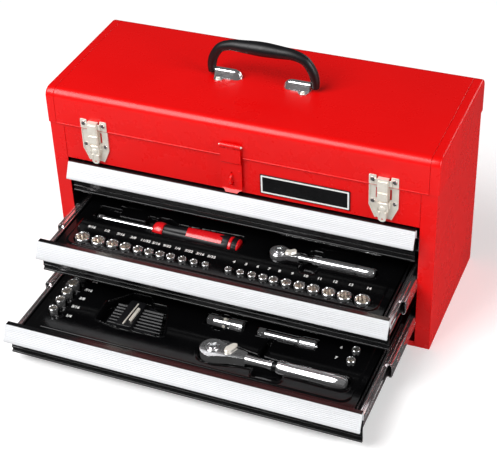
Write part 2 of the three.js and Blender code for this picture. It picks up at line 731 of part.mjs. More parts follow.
function hingeKnuckles(parity) {
  const pitch = HINGE_LENGTH / HINGE_KNUCKLES;
  const knuckles = [];
  for (let i = parity; i < HINGE_KNUCKLES; i += 2) {
    const from = -HINGE_LENGTH / 2 + i * pitch + SEAM / 2;
    knuckles.push([from, from + pitch - SEAM]);
  }
  return knuckles;
}

function hingeLeaf(parity, y0, up) {
  const z0 = lidLine + up * (HINGE_KNUCKLE_RADIUS - HARDWARE_SHEET);
  const web = ordered(z0, z0 + up * HARDWARE_SHEET);
  const plate = ordered(z0 + up * HARDWARE_SHEET, z0 + up * HINGE_LEAF_HEIGHT);
  const parts = [box(around(0, HINGE_LENGTH / 2), [y0, y0 + HARDWARE_SHEET], plate)];
  const bore = HINGE_PIN_RADIUS + 0.1;
  for (const span of hingeKnuckles(parity)) {
    parts.push(rod('x', HINGE_KNUCKLE_RADIUS, span[0], span[1], [hingeY, lidLine], 10));
    parts.push(box(span, [y0, hingeY], web));
    parts.push(box(span, [y0, y0 + HARDWARE_SHEET], ordered(z0, z0 + up * 3 * HARDWARE_SHEET)));
  }
  return cut(join(...parts), rod('x', bore, -HINGE_LENGTH, HINGE_LENGTH, [hingeY, lidLine], 10));
}

function buildHinge(body, lid) {
  const bodyLeafY = bodyHalfDepth + SEAM;
  const lidLeafY = halfDepth + SEAM;
  piece(body, 'hinge_leaf_body', hingeLeaf(0, bodyLeafY, -1), 'red_powder_coat');
  piece(lid, 'hinge_leaf_lid', hingeLeaf(1, lidLeafY, 1), 'red_powder_coat');
  const pinEnd = HINGE_LENGTH / 2 + 2;
  const pin = rod('x', HINGE_PIN_RADIUS, -pinEnd, pinEnd, [hingeY, lidLine], 10);
  piece(body, 'hinge_pin', pin, 'zinc');
}

// ---------------------------------------------------------------- draw latches

const latchPlateY = bodyFront - seamOut;
const latchPivotY = latchPlateY - 2.9;
const linkY = latchPivotY;
const linkZ = latchPivotZ - LATCH_LINK_RADIUS;
const LINK_INNER = LATCH_LEVER_HALF_WIDTH + 0.4;
const LINK_OUTER = LINK_INNER + 1.2;

function latchBase() {
  const half = LATCH_WIDTH / 2;
  const foot = openingTop + 5;
  const shoulder = latchPivotZ - 5.5;
  const top = lidLine - 2 * SEAM;
  const outline = [
    [-half * 0.58, foot], [half * 0.58, foot], [half, shoulder], [half, top], [-half, top], [-half, shoulder],
  ];
  const ears = [-1, 1].map((side) => box(
    ordered(side * (LINK_OUTER + 0.4), side * (LINK_OUTER + 1.6)),
    [latchPivotY - 2, latchPlateY + HARDWARE_SHEET],
    around(latchPivotZ, 4),
  ));
  const rivets = [-1, 1].map((side) => (
    rod('y', 3, latchPlateY - 1, latchPlateY + 0.5, [side * (half - 5), latchPivotZ], 10)
  ));
  const pin = rod('x', 1.2, -LINK_OUTER - 1, LINK_OUTER + 1, [latchPivotY, latchPivotZ], 10);
  return join(prism('y', outline, latchPlateY, latchPlateY + HARDWARE_SHEET), ...ears, ...rivets, pin);
}

function latchLever() {
  const half = LATCH_LEVER_HALF_WIDTH;
  const faceY = [latchPivotY - 2.4, latchPivotY - 1.2];
  const tip = latchPivotZ - LATCH_LEVER_LENGTH;
  const tab = new THREE.Shape();
  tab.moveTo(-half, latchPivotZ);
  tab.lineTo(-half, tip + half);
  tab.absarc(0, tip + half, half, Math.PI, 2 * Math.PI);
  tab.lineTo(half, latchPivotZ);
  const walls = [-1, 1].map((side) => box(
    ordered(side * (half - 1), side * half),
    [faceY[0], linkY + 1.2],
    around(linkZ, 4),
  ));
  return cut(
    join(
      prism('y', tab, ...faceY),
      rod('x', 2.4, -half, half, [latchPivotY, latchPivotZ], 12),
      rod('x', 1, -LINK_OUTER, LINK_OUTER, [linkY, linkZ], 10),
      ...walls,
    ),
    rod('x', 1.4, -half - 1, half + 1, [latchPivotY, latchPivotZ], 12),
  );
}

const keeperPlateY = -halfDepth - seamOut;
const keeperTop = lidLine + 11.5;
const bridgeFront = keeperPlateY - 2.6;

function latchLoop() {
  const plateY = [bridgeFront - 2, bridgeFront - 0.8];
  const plateBottom = latchPivotZ + 5;
  const hookZ = [keeperTop + 0.8, keeperTop + 2];
  const eyes = [-1, 1].map((side) => join(
    rod('x', 2.2, ...ordered(side * LINK_INNER, side * LINK_OUTER), [linkY, linkZ], 12),
    box(ordered(side * LINK_INNER, side * LINK_OUTER), [plateY[0], linkY], around(linkZ, 1.5)),
    box(ordered(side * LINK_INNER, side * LINK_OUTER), plateY, [linkZ - 1.5, plateBottom + 1]),
  ));
  return cut(
    join(
      box(around(0, LINK_OUTER), plateY, [plateBottom, hookZ[1]]),
      box(around(0, LINK_OUTER), [plateY[0], -halfDepth - 2 * SEAM], hookZ),
      ...eyes,
    ),
    rod('x', 1.2, -LINK_OUTER - 1, LINK_OUTER + 1, [linkY, linkZ], 12),
  );
}

function latchKeeper() {
  const half = LATCH_WIDTH / 2;
  const inner = LINK_OUTER + 2.4;
  const parts = [];
  for (const side of [-1, 1]) {
    const ear = ordered(side * inner, side * half);
    parts.push(box(ear, [keeperPlateY, keeperPlateY + HARDWARE_SHEET], [lidLine + 1, lidLine + 15]));
    parts.push(box(
      ordered(side * inner, side * (inner + HARDWARE_SHEET)),
      [bridgeFront, keeperPlateY + HARDWARE_SHEET],
      [lidLine + 3, keeperTop],
    ));
    parts.push(rod('y', 3.4, keeperPlateY - 1.2, keeperPlateY + 0.5, [side * (half - 5), lidLine + 9], 10));
  }
  const bridgeY = [bridgeFront, bridgeFront + HARDWARE_SHEET];
  parts.push(box(around(0, inner + HARDWARE_SHEET), bridgeY, [lidLine + 3, keeperTop]));
  return join(...parts);
}

function buildLatches(body, lid) {
  for (const [name, side] of SIDES) {
    const x = side * LATCH_X;
    piece(body, `latch_base_${name}`, latchBase().translate([x, 0, 0]), 'nickel');
    piece(body, `latch_lever_${name}`, latchLever().translate([x, 0, 0]), 'nickel');
    piece(body, `latch_loop_${name}`, latchLoop().translate([x, 0, 0]), 'nickel');
    piece(lid, `latch_keeper_${name}`, latchKeeper().translate([x, 0, 0]), 'nickel');
  }
}

// ---------------------------------------------------------------- hasp and badge

function buildHasp(body, lid) {
  const half = HASP_WIDTH / 2;
  const leafY = -halfDepth - seamOut;
  const pinY = leafY + HARDWARE_SHEET - HASP_BARREL_RADIUS;
  const eye = HASP_WIDTH / 5;
  const x = (offset) => HASP_X + offset;
  const leaf = join(
    cut(
      box([x(-half), x(half)], [leafY, leafY + HARDWARE_SHEET], [lidLine + 5, haspBarrelZ]),
      box(
        [x(-eye - SEAM), x(eye + SEAM)],
        [leafY - 1, leafY + 2],
        [haspBarrelZ - HASP_BARREL_RADIUS - 2 * SEAM, haspBarrelZ + 1],
      ),
    ),
    rod('x', HASP_BARREL_RADIUS, x(-half), x(-eye - SEAM), [pinY, haspBarrelZ], 14),
    rod('x', HASP_BARREL_RADIUS, x(eye + SEAM), x(half), [pinY, haspBarrelZ], 14),
    rod('x', HASP_PIN_RADIUS, x(-half - 1.5), x(half + 2), [pinY, haspBarrelZ], 12),
  );
  piece(lid, 'hasp_leaf', leaf, 'red_powder_coat');

  const upperY = pinY - SHEET;
  const stepZ = lidLine - 6;
  const lowerY = upperY + 2;
  const bottom = openingTop + 2;
  const edge = haspBarrelZ - HASP_BARREL_RADIUS - 2 * SEAM;
  const outline = [
    [upperY, edge], [upperY, stepZ], [lowerY, stepZ - 2], [lowerY, bottom + 3], [lowerY - 4, bottom],
    [lowerY - 3.4 + SHEET, bottom], [lowerY + SHEET, bottom + 2.6], [lowerY + SHEET, stepZ - 1.4],
    [upperY + SHEET, stepZ + 0.6], [upperY + SHEET, edge],
  ];
  const strap = cut(
    join(
      prism('x', outline, x(-half), x(half)),
      box([x(-eye), x(eye)], [upperY, upperY + SHEET], [edge - 1, haspBarrelZ]),
      rod('x', HASP_BARREL_RADIUS, x(-eye), x(eye), [pinY, haspBarrelZ], 14),
    ),
    rod('x', HASP_PIN_RADIUS + 0.2, x(-half), x(half), [pinY, haspBarrelZ], 12),
    box(around(HASP_X, 2.6), [upperY - 10, upperY + 10], around(haspSlotZ, 10.5)),
  );
  piece(lid, 'hasp_strap', strap, 'red_powder_coat');

  const plateY = bodyFront - seamOut;
  const loopRadius = 6.8;
  const loop = cut(
    join(
      rod('x', loopRadius + 1.6, HASP_X - 1.6, HASP_X + 1.6, [plateY - 2, haspSlotZ], 18),
      box(around(HASP_X, 1.6), [plateY - 2, plateY + 0.5], around(haspSlotZ, loopRadius + 1.6)),
    ),
    rod('x', loopRadius - 1.6, HASP_X - 3, HASP_X + 3, [plateY - 2, haspSlotZ], 18),
    box(around(HASP_X, 3), [plateY + 0.4, plateY + 20], around(haspSlotZ, 20)),
  );
  const plate = box(around(HASP_X, 7), [plateY, plateY + HARDWARE_SHEET], around(haspSlotZ, 13));
  piece(body, 'hasp_staple', join(loop, plate), 'red_powder_coat');
}

function buildBadge(group) {
  const plate = prism(
    'y',
    roundedRect(around(BADGE_X, BADGE_WIDTH / 2), around(badgeZ, BADGE_HEIGHT / 2), 3),
    bodyFront - seamOut,
    bodyFront - SEAM,
  );
  piece(group, 'badge_plate', plate, 'black_paint');
}

// ---------------------------------------------------------------- handle

const bracketZ = lidTop + SEAM;
const handlePivotZ = bracketZ + BRACKET_INNER_RADIUS + HARDWARE_SHEET;

function handleBracket() {
  const outerRadius = BRACKET_INNER_RADIUS + 1.2;
  const outerEnd = HANDLE_HALF_SPAN - HANDLE_ROD_RADIUS - 0.6;
  const innerEnd = outerEnd - BRACKET_LENGTH;
  const rim = roundedRect([innerEnd - 2, outerEnd], around(0, outerRadius + 2.5), 2);
  const flange = join(
    prism('z', rim, bracketZ, bracketZ + HARDWARE_SHEET),
    rod('z', 6.5, bracketZ, bracketZ + HARDWARE_SHEET, [outerEnd - 7, -outerRadius - 3.5], 16),
    rod('z', 2.8, bracketZ, bracketZ + 2.2, [outerEnd - 7, -outerRadius - 5], 12),
  );
  const noseEnd = innerEnd + BRACKET_NOSE;
  const noseLength = BRACKET_NOSE + 0.05;
  const tipRadius = outerRadius * 0.3;
  const noseProfile = [[0, 0], [tipRadius, 0], [outerRadius, noseLength], [0, noseLength]];
  const noseSides = [
    [innerEnd + noseLength, -outerRadius], [innerEnd + noseLength, outerRadius],
    [innerEnd, tipRadius], [innerEnd, -tipRadius],
  ];
  const tunnel = join(
    rod('x', outerRadius, noseEnd, outerEnd, [0, handlePivotZ], 18),
    box([noseEnd, outerEnd], around(0, outerRadius), [bracketZ, handlePivotZ]),
    turned('x', noseProfile, [innerEnd, 0, handlePivotZ], 18),
    prism('z', noseSides.reverse(), bracketZ, handlePivotZ),
  );
  const inside = [noseEnd + 1, outerEnd + 1];
  const hollow = join(
    rod('x', BRACKET_INNER_RADIUS, ...inside, [0, handlePivotZ], 16),
    box(inside, around(0, BRACKET_INNER_RADIUS), [bracketZ + HARDWARE_SHEET, handlePivotZ]),
  );
  const below = box([innerEnd - 20, outerEnd + 20], [-40, 40], [bracketZ - 20, bracketZ]);
  return cut(join(flange, tunnel), hollow, below);
}

function handleGrip() {
  const half = HANDLE_HALF_SPAN;
  const gripZ = handlePivotZ + HANDLE_GRIP_RISE;
  const side = [
    [half, handlePivotZ - HANDLE_END_DROP],
    [half, handlePivotZ + 8],
    [half - 3, handlePivotZ + 22],
    [half - 14, gripZ - 6],
    [half - 30, gripZ - 1],
  ];
  const points = [
    ...side.map(([x, z]) => new THREE.Vector3(x, 0, z)),
    new THREE.Vector3(0, 0, gripZ),
    ...side.map(([x, z]) => new THREE.Vector3(-x, 0, z)).reverse(),
  ];
  const section = new THREE.Shape();
  section.absarc(0, 0, HANDLE_ROD_RADIUS, 0, 2 * Math.PI);
  const bail = new THREE.ExtrudeGeometry(section, {
    steps: 30,
    extrudePath: new THREE.CatmullRomCurve3(points),
    curveSegments: 5,
    bevelEnabled: false,
  });
  const swell = [
    [0, 0], [HANDLE_ROD_RADIUS - 1, 0], [7, 14], [HANDLE_GRIP_RADIUS, 38],
    [HANDLE_GRIP_RADIUS, 46], [7, 70], [HANDLE_ROD_RADIUS - 1, 84], [0, 84],
  ];
  const pins = [-1, 1].map((s) => rod(
    'x',
    HANDLE_PIN_RADIUS,
    ...ordered(s * (half - HANDLE_ROD_RADIUS - BRACKET_LENGTH + 12), s * half),
    [0, handlePivotZ],
    12,
  ));
  return join(solid(bail), turned('x', swell, [-42, 0, gripZ - 0.5], 14), ...pins);
}

function buildHandle(lid) {
  for (const [name, side] of SIDES) {
    piece(lid, `handle_bracket_${name}`, onSide(side, handleBracket()), 'chrome');
  }
  piece(lid, 'handle_grip', handleGrip(), 'black_grip');
}

// ---------------------------------------------------------------- assembly

const lid = new THREE.Group();
chest.add(lid);

const floorZ = buildCase(chest);
for (const [name, side] of SIDES) {
  piece(chest, `slide_carrier_${name}`, onSide(side, slideCarrier(floorZ)), 'black_paint');
}
buildDrawers(chest);
buildLid(lid);
buildHinge(chest, lid);
buildLatches(chest, lid);
buildHasp(chest, lid);
buildBadge(chest);
buildHandle(lid);

export default chest;
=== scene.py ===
"""Three-drawer tool chest with its socket wrench set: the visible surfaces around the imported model.

Shapes are worked out in millimetres, in the part's own frame, and become metres when a piece is made.
"""

import json
import math

import bmesh
import bpy
import numpy as np
from mathutils import Matrix, Vector

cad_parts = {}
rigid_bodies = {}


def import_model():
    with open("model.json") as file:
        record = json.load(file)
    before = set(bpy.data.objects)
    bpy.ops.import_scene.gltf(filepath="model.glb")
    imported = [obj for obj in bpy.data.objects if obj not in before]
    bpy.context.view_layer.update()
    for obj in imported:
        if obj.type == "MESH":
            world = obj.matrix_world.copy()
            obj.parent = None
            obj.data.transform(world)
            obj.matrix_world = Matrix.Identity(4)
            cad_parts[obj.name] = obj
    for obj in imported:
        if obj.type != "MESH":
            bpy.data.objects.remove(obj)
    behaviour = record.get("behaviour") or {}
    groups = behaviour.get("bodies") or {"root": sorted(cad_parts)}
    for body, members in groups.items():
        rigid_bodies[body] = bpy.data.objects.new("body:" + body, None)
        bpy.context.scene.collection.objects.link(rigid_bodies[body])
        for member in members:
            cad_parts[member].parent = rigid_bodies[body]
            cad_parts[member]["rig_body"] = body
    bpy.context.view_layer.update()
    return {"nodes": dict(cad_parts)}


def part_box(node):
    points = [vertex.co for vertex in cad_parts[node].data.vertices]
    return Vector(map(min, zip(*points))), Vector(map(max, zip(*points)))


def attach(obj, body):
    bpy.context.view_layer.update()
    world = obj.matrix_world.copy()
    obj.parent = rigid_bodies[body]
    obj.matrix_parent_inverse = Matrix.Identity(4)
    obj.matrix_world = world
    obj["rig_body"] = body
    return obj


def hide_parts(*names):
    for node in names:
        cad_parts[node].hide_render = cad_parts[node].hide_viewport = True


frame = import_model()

MM = 0.001
NODES = frame["nodes"]
DRAWER_NAMES = ("bottom", "middle", "top")
SIDES = (("left", -1), ("right", 1))


def span(node):
    """Lowest and highest corners of a CAD node, in millimetres."""
    low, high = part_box(node)
    return low / MM, high / MM


# ---------------------------------------------------------------- driving sizes, from the frame

LID_LOW, LID_HIGH = span("lid_shell")
LID_END = span("lid_end_right")[1].x
FRONT_Y = span("right_side_panel")[0].y
LID_FRONT_Y = LID_LOW.y
LID_LINE = LID_LOW.z
LID_TOP = LID_HIGH.z
OPENING_TOP = span("front_panel")[0].z
SHEET = 1.2
EDGE_RADIUS = 12.4
TOP_FOLD = 5
PLATE = 1.0
PLATE_STANDOFF = 1.3

# ---------------------------------------------------------------- finishes


def add_node(tree, kind, **inputs):
    node = tree.nodes.new(kind)
    for key, value in inputs.items():
        node.inputs[key.replace("_", " ")].default_value = value
    return node


def noise(tree, coordinates, scale, detail=3.0, roughness=0.5, stretch=None):
    """Noise in the piece's own coordinates, with stretch scaling it along each axis."""
    source = coordinates
    if stretch:
        mapping = add_node(tree, "ShaderNodeMapping", Scale=stretch)
        tree.links.new(coordinates, mapping.inputs["Vector"])
        source = mapping.outputs["Vector"]
    texture = add_node(tree, "ShaderNodeTexNoise", Scale=scale, Detail=detail, Roughness=roughness)
    tree.links.new(source, texture.inputs["Vector"])
    return texture.outputs["Fac"]


def spread(tree, value, low, high, start=0.3, end=0.7):
    """Maps a noise value onto the range low to high."""
    node = add_node(tree, "ShaderNodeMapRange")
    for index, number in ((1, start), (2, end), (3, low), (4, high)):
        node.inputs[index].default_value = number
    tree.links.new(value, node.inputs[0])
    return node.outputs[0]


def blend_colours(tree, factor, first, second):
    mix = tree.nodes.new("ShaderNodeMix")
    mix.data_type = "RGBA"
    mix.inputs[6].default_value = (*first, 1)
    mix.inputs[7].default_value = (*second, 1)
    tree.links.new(factor, mix.inputs[0])
    return mix.outputs[2]


def bumped(tree, height, strength, distance):
    bump = add_node(tree, "ShaderNodeBump", Strength=strength, Distance=distance)
    tree.links.new(height, bump.inputs["Height"])
    return bump.outputs["Normal"]


def finish(name, colours, roughness, tone_scale, grain, metallic=0.0, coat=0.0, stretch=None,
           specular=0.5):
    """Material whose colour, gloss and surface all vary: colours and roughness are (low, high) pairs,
    grain is (scale, strength, depth in metres) of its bump, and stretch draws the grain out along an axis."""
    material = bpy.data.materials.new(name)
    material.use_nodes = True
    tree = material.node_tree
    shader = tree.nodes["Principled BSDF"]
    shader.inputs["Metallic"].default_value = metallic
    shader.inputs["Specular IOR Level"].default_value = specular
    shader.inputs["Coat Weight"].default_value = coat
    shader.inputs["Coat Roughness"].default_value = 0.05
    place = tree.nodes.new("ShaderNodeTexCoord").outputs["Object"]
    tone = noise(tree, place, tone_scale, detail=4, stretch=stretch)
    links = tree.links
    links.new(blend_colours(tree, spread(tree, tone, 0, 1), *colours), shader.inputs["Base Color"])
    wear = noise(tree, place, tone_scale * 2.7, detail=5, roughness=0.62, stretch=stretch)
    links.new(spread(tree, wear, *roughness), shader.inputs["Roughness"])
    scale, strength, depth = grain
    fine = noise(tree, place, scale, detail=2, stretch=stretch)
    links.new(bumped(tree, fine, strength, depth), shader.inputs["Normal"])
    return material


LOOKS = {
    "red_powder_coat": dict(
        colours=((0.72, 0.0012, 0.0012), (0.76, 0.0018, 0.0018)),
        roughness=(0.24, 0.32), tone_scale=7, grain=(1100, 0.03, 0.00004), specular=0.4),
    "black_paint": dict(
        colours=((0.003, 0.0032, 0.0036), (0.006, 0.0062, 0.0070)),
        roughness=(0.14, 0.24), tone_scale=16, grain=(900, 0.05, 0.00004), specular=0.5),
    "black_tray": dict(
        colours=((0.0012, 0.0012, 0.0014), (0.0024, 0.0024, 0.0027)),
        roughness=(0.08, 0.16), tone_scale=14, grain=(300, 0.10, 0.00008), specular=0.26),
    "black_grip": dict(
        colours=((0.004, 0.004, 0.005), (0.008, 0.008, 0.009)),
        roughness=(0.34, 0.46), tone_scale=40, grain=(1200, 0.30, 0.00010), specular=0.4),
    "red_grip": dict(
        colours=((0.60, 0.006, 0.010), (0.70, 0.010, 0.014)),
        roughness=(0.20, 0.30), tone_scale=60, grain=(900, 0.15, 0.00008), coat=0.3),
    "white_print": dict(
        colours=((0.78, 0.78, 0.76), (0.86, 0.86, 0.84)),
        roughness=(0.45, 0.55), tone_scale=300, grain=(2500, 0.2, 0.00003)),
    "aluminium": dict(
        colours=((0.72, 0.73, 0.75), (0.79, 0.80, 0.82)),
        roughness=(0.36, 0.46), tone_scale=60, grain=(700, 0.20, 0.00006),
        metallic=0.25, stretch=(0.03, 1, 1)),
    # Zinc: grey metal whose colour carries a pink tint, a painted reflection of the red case on every zinc
    # part.
    "zinc": dict(
        colours=((0.72, 0.68, 0.69), (0.92, 0.88, 0.89)),
        roughness=(0.10, 0.20), tone_scale=45, grain=(500, 0.10, 0.00008),
        metallic=0.95, stretch=(1, 0.06, 1)),
    "nickel": dict(
        colours=((0.86, 0.80, 0.71), (0.98, 0.93, 0.84)),
        roughness=(0.14, 0.26), tone_scale=110, grain=(650, 0.12, 0.00008), metallic=0.35),
    "chrome": dict(
        colours=((0.74, 0.74, 0.75), (0.84, 0.84, 0.85)),
        roughness=(0.06, 0.14), tone_scale=90, grain=(500, 0.05, 0.00006), metallic=0.9),
}
FINISHES = {name: finish(name, **looks) for name, looks in LOOKS.items()}
# Painted reflection: the socket bores get a bright, warm tan diffuse colour in place of the reflections seen
# inside them.
BORE_PAINTED_REFLECTION = finish(
    "bore_painted_reflection", ((0.50, 0.38, 0.25), (0.84, 0.74, 0.58)), (0.18, 0.34), 260,
    (900, 0.15, 0.00006), metallic=0.4)

# ---------------------------------------------------------------- shapes in millimetres

PLACES = {
    "x": lambda along, a, b: (along, a, b),
    "y": lambda along, a, b: (a, along, b),
    "z": lambda along, a, b: (a, b, along),
}


def loft(rings, loop=False):
    """One closed shape through rings of equal count, capped at its ends or closed on itself."""
    count = len(rings[0])
    verts = [tuple(point) for ring in rings for point in ring]
    faces = []
    for i in range(len(rings) if loop else len(rings) - 1):
        a = i * count
        b = (i + 1) % len(rings) * count
        for k in range(count):
            after = (k + 1) % count
            faces.append((a + k, a + after, b + after, b + k))
    if not loop:
        faces.append(tuple(reversed(range(count))))
        faces.append(tuple(range(len(verts) - count, len(verts))))
    return verts, faces


def prism(axis, outline, low, high):
    put = PLACES[axis]
    return loft([[put(along, a, b) for a, b in outline] for along in (low, high)])


def box(x, y, z):
    return prism("z", [(x[0], y[0]), (x[1], y[0]), (x[1], y[1]), (x[0], y[1])], *z)


def circle(radius, sides, turn=0.0):
    angles = [2 * math.pi * (k + turn) / sides for k in range(sides)]
    return [(radius * math.cos(t), radius * math.sin(t)) for t in angles]


def turned(axis, profile, centre=(0, 0, 0), sides=40):
    """Turned part: profile pairs are (radius, distance along the axis)."""
    put = PLACES[axis]
    rings = [[Vector(put(along, a, b)) + Vector(centre) for a, b in circle(radius, sides, 0.5)]
             for radius, along in profile]
    return loft(rings)


def rod(axis, radius, low, high, centre=(0, 0, 0), sides=40):
    return turned(axis, [(radius, low), (radius, high)], centre, sides)


def arc(centre, radius, start, end, steps=6):
    """Points on an arc, angles in degrees."""
    angles = [math.radians(start + (end - start) * k / steps) for k in range(steps + 1)]
    return [(centre[0] + radius * math.cos(t), centre[1] + radius * math.sin(t)) for t in angles]


def rounded(points, radius, steps=5):
    """Outline with each corner rounded; radius is one number or one for each corner."""
    outline = []
    count = len(points)
    for i, corner in enumerate(points):
        r = radius[i] if isinstance(radius, (list, tuple)) else radius
        here = Vector(corner)
        before = Vector(points[i - 1]) - here
        after = Vector(points[(i + 1) % count]) - here
        if r <= 0:
            outline.append(tuple(here))
            continue
        half = before.angle(after) / 2
        reach = min(r / math.tan(half), 0.49 * before.length, 0.49 * after.length)
        start = here + before.normalized() * reach
        end = here + after.normalized() * reach
        for k in range(steps + 1):
            t = k / steps
            outline.append(tuple(start * (1 - t) ** 2 + here * 2 * t * (1 - t) + end * t * t))
    return outline


def rectangle(a, b, radius=0, steps=5):
    corners = [(a[0], b[0]), (a[1], b[0]), (a[1], b[1]), (a[0], b[1])]
    return rounded(corners, radius, steps) if radius else corners


def around(middle, half):
    return (middle - half, middle + half)


def spline(points, steps):
    """Smooth curve through points (Catmull-Rom), with steps to each stretch."""
    points = [Vector(p) for p in points]
    ends = [points[0] * 2 - points[1]] + points + [points[-1] * 2 - points[-2]]
    curve = []
    for i in range(1, len(ends) - 2):
        p0, p1, p2, p3 = ends[i - 1:i + 3]
        for k in range(steps):
            t = k / steps
            curve.append(0.5 * ((2 * p1) + (p2 - p0) * t + (2 * p0 - 5 * p1 + 4 * p2 - p3) * t * t
                                + (3 * p1 - p0 - 3 * p2 + p3) * t ** 3))
    return curve + [points[-1]]


def tube(path, radii, sides=24, flat=1.0, side_on=Vector((0, 1, 0))):
    """Round or oval bar along a path that stays square to side_on."""
    path = [Vector(p) for p in path]
    radii = radii if isinstance(radii, (list, tuple)) else [radii] * len(path)
    rings = []
    for i, point in enumerate(path):
        along = (path[min(i + 1, len(path) - 1)] - path[max(i - 1, 0)]).normalized()
        across = along.cross(side_on).normalized()
        rings.append([point + side_on * a + across * b * flat for a, b in circle(radii[i], sides)])
    return loft(rings)


def together(*shapes):
    verts = []
    faces = []
    for shape_verts, shape_faces in shapes:
        start = len(verts)
        verts += list(shape_verts)
        faces += [tuple(start + i for i in face) for face in shape_faces]
    return verts, faces


def shifted(shape, x=0, y=0, z=0):
    return [(v[0] + x, v[1] + y, v[2] + z) for v in shape[0]], shape[1]


def mirrored(shape):
    return [(-v[0], v[1], v[2]) for v in shape[0]], [tuple(reversed(f)) for f in shape[1]]


def on_side(side, shape):
    return mirrored(shape) if side < 0 else shape


def clean_mesh(name, shape, merge=0.004, flat=0.4):
    """Mesh with doubled points merged, flat neighbours joined into one face and all faces pointing out."""
    mesh = bpy.data.meshes.new(name)
    mesh.from_pydata([tuple(v) for v in shape[0]], [], [tuple(f) for f in shape[1]])
    work = bmesh.new()
    work.from_mesh(mesh)
    bmesh.ops.remove_doubles(work, verts=work.verts, dist=merge)
    if flat:
        bmesh.ops.dissolve_limit(
            work, angle_limit=math.radians(flat), verts=work.verts, edges=work.edges)
    bmesh.ops.recalc_face_normals(work, faces=work.faces)
    work.to_mesh(mesh)
    work.free()
    return mesh


def combine(operation, first, *others):
    """Solid join ("UNION") or cut ("DIFFERENCE") of shapes."""
    made = []
    for shape in (first, *others):
        solid = bpy.data.objects.new("solid", clean_mesh("solid", shape, flat=0))
        bpy.context.scene.collection.objects.link(solid)
        made.append(solid)
    for tool in made[1:]:
        step = made[0].modifiers.new("step", "BOOLEAN")
        step.operation = operation
        step.object = tool
        step.solver = "MANIFOLD"
    evaluated = made[0].evaluated_get(bpy.context.evaluated_depsgraph_get())
    mesh = bpy.data.meshes.new_from_object(evaluated)
    shape = ([tuple(v.co) for v in mesh.vertices], [tuple(f.vertices) for f in mesh.polygons])
    for solid in made:
        bpy.data.objects.remove(solid)
    bpy.data.meshes.remove(mesh)
    return shape


def union(*shapes):
    return combine("UNION", *shapes)


def cut(shape, *tools):
    return combine("DIFFERENCE", shape, *tools)


def piece(name, shape, slot, body, stands_for=(), bevel=0.3, segments=2, smooth=32, flat=0.4):
    """Finished piece from a shape in millimetres, with rounded edges, on its body."""
    mesh = clean_mesh(name, shape, flat=flat)
    mesh.transform(Matrix.Scale(MM, 4))
    mesh.shade_smooth()
    mesh.set_sharp_from_angle(angle=math.radians(smooth))
    mesh.materials.append(FINISHES[slot])
    made = bpy.data.objects.new(name, mesh)
    bpy.context.scene.collection.objects.link(made)
    if bevel:
        edge = made.modifiers.new("edges", "BEVEL")
        edge.width = bevel * MM
        edge.segments = segments
        edge.limit_method = "ANGLE"
        edge.angle_limit = math.radians(30)
        edge.harden_normals = True
    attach(made, body)
    if stands_for:
        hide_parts(*([stands_for] if isinstance(stands_for, str) else stands_for))
    return made


def refined(node, slot, bevel):
    """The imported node's own shape with its edges rounded."""
    source = NODES[node].data
    shape = ([tuple(v.co / MM) for v in source.vertices], [tuple(f.vertices) for f in source.polygons])
    return piece(f"{node}_formed", shape, slot, NODES[node]["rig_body"], node, bevel)


# ---------------------------------------------------------------- camera, floor and lights

CAMERA_PLACE = Vector((0.5757, -1.3983, 1.1651))
CAMERA_AZIMUTH = math.radians(24.72)
CAMERA_ELEVATION = math.radians(35.69)
CAMERA_ROLL = math.radians(-3.12)
CAMERA_LENS = 99.49
CAMERA_SHIFT = (0.0538, -0.0149)
FLOOR_HALF = 6.0
SKY_STRENGTH = 0.07
FLOOR_GLOW = 0.3
LIT_POINT = (0, -0.05, 0.12)
LIGHTS = {
    "key": ((-1.03, -1.41, 2.05), (1.9, 1.7), 80),
    "right_fill": ((2.4, -0.6, 1.3), (1.4, 1.4), 42),
    "back_fill": ((1.2, 2.4, 0.9), (1.6, 1.0), 14),
}


def make_camera():
    data = bpy.data.cameras.new("camera")
    data.lens = CAMERA_LENS
    data.sensor_width = 36
    data.shift_x, data.shift_y = CAMERA_SHIFT
    camera = bpy.data.objects.new("camera", data)
    flat = math.cos(CAMERA_ELEVATION)
    forward = Vector((-math.sin(CAMERA_AZIMUTH) * flat, math.cos(CAMERA_AZIMUTH) * flat,
                      -math.sin(CAMERA_ELEVATION)))
    right = Vector((math.cos(CAMERA_AZIMUTH), math.sin(CAMERA_AZIMUTH), 0))
    up = right.cross(forward)
    turn = Matrix.Rotation(CAMERA_ROLL, 3, forward)
    axes = Matrix((turn.inverted() @ right, turn.inverted() @ up, -forward)).transposed()
    camera.matrix_world = Matrix.Translation(CAMERA_PLACE) @ axes.to_4x4()
    bpy.context.scene.collection.objects.link(camera)
    bpy.context.scene.camera = camera


def make_light(name, place, size, power):
    """Soft box of a size in metres, turned to the middle of the chest."""
    data = bpy.data.lights.new(name, "AREA")
    data.shape = "RECTANGLE"
    data.size, data.size_y = size
    data.energy = power
    light = bpy.data.objects.new(name, data)
    aim = Vector(LIT_POINT) - Vector(place)
    light.matrix_world = Matrix.Translation(place) @ aim.to_track_quat("-Z", "Y").to_matrix().to_4x4()
    bpy.context.scene.collection.objects.link(light)


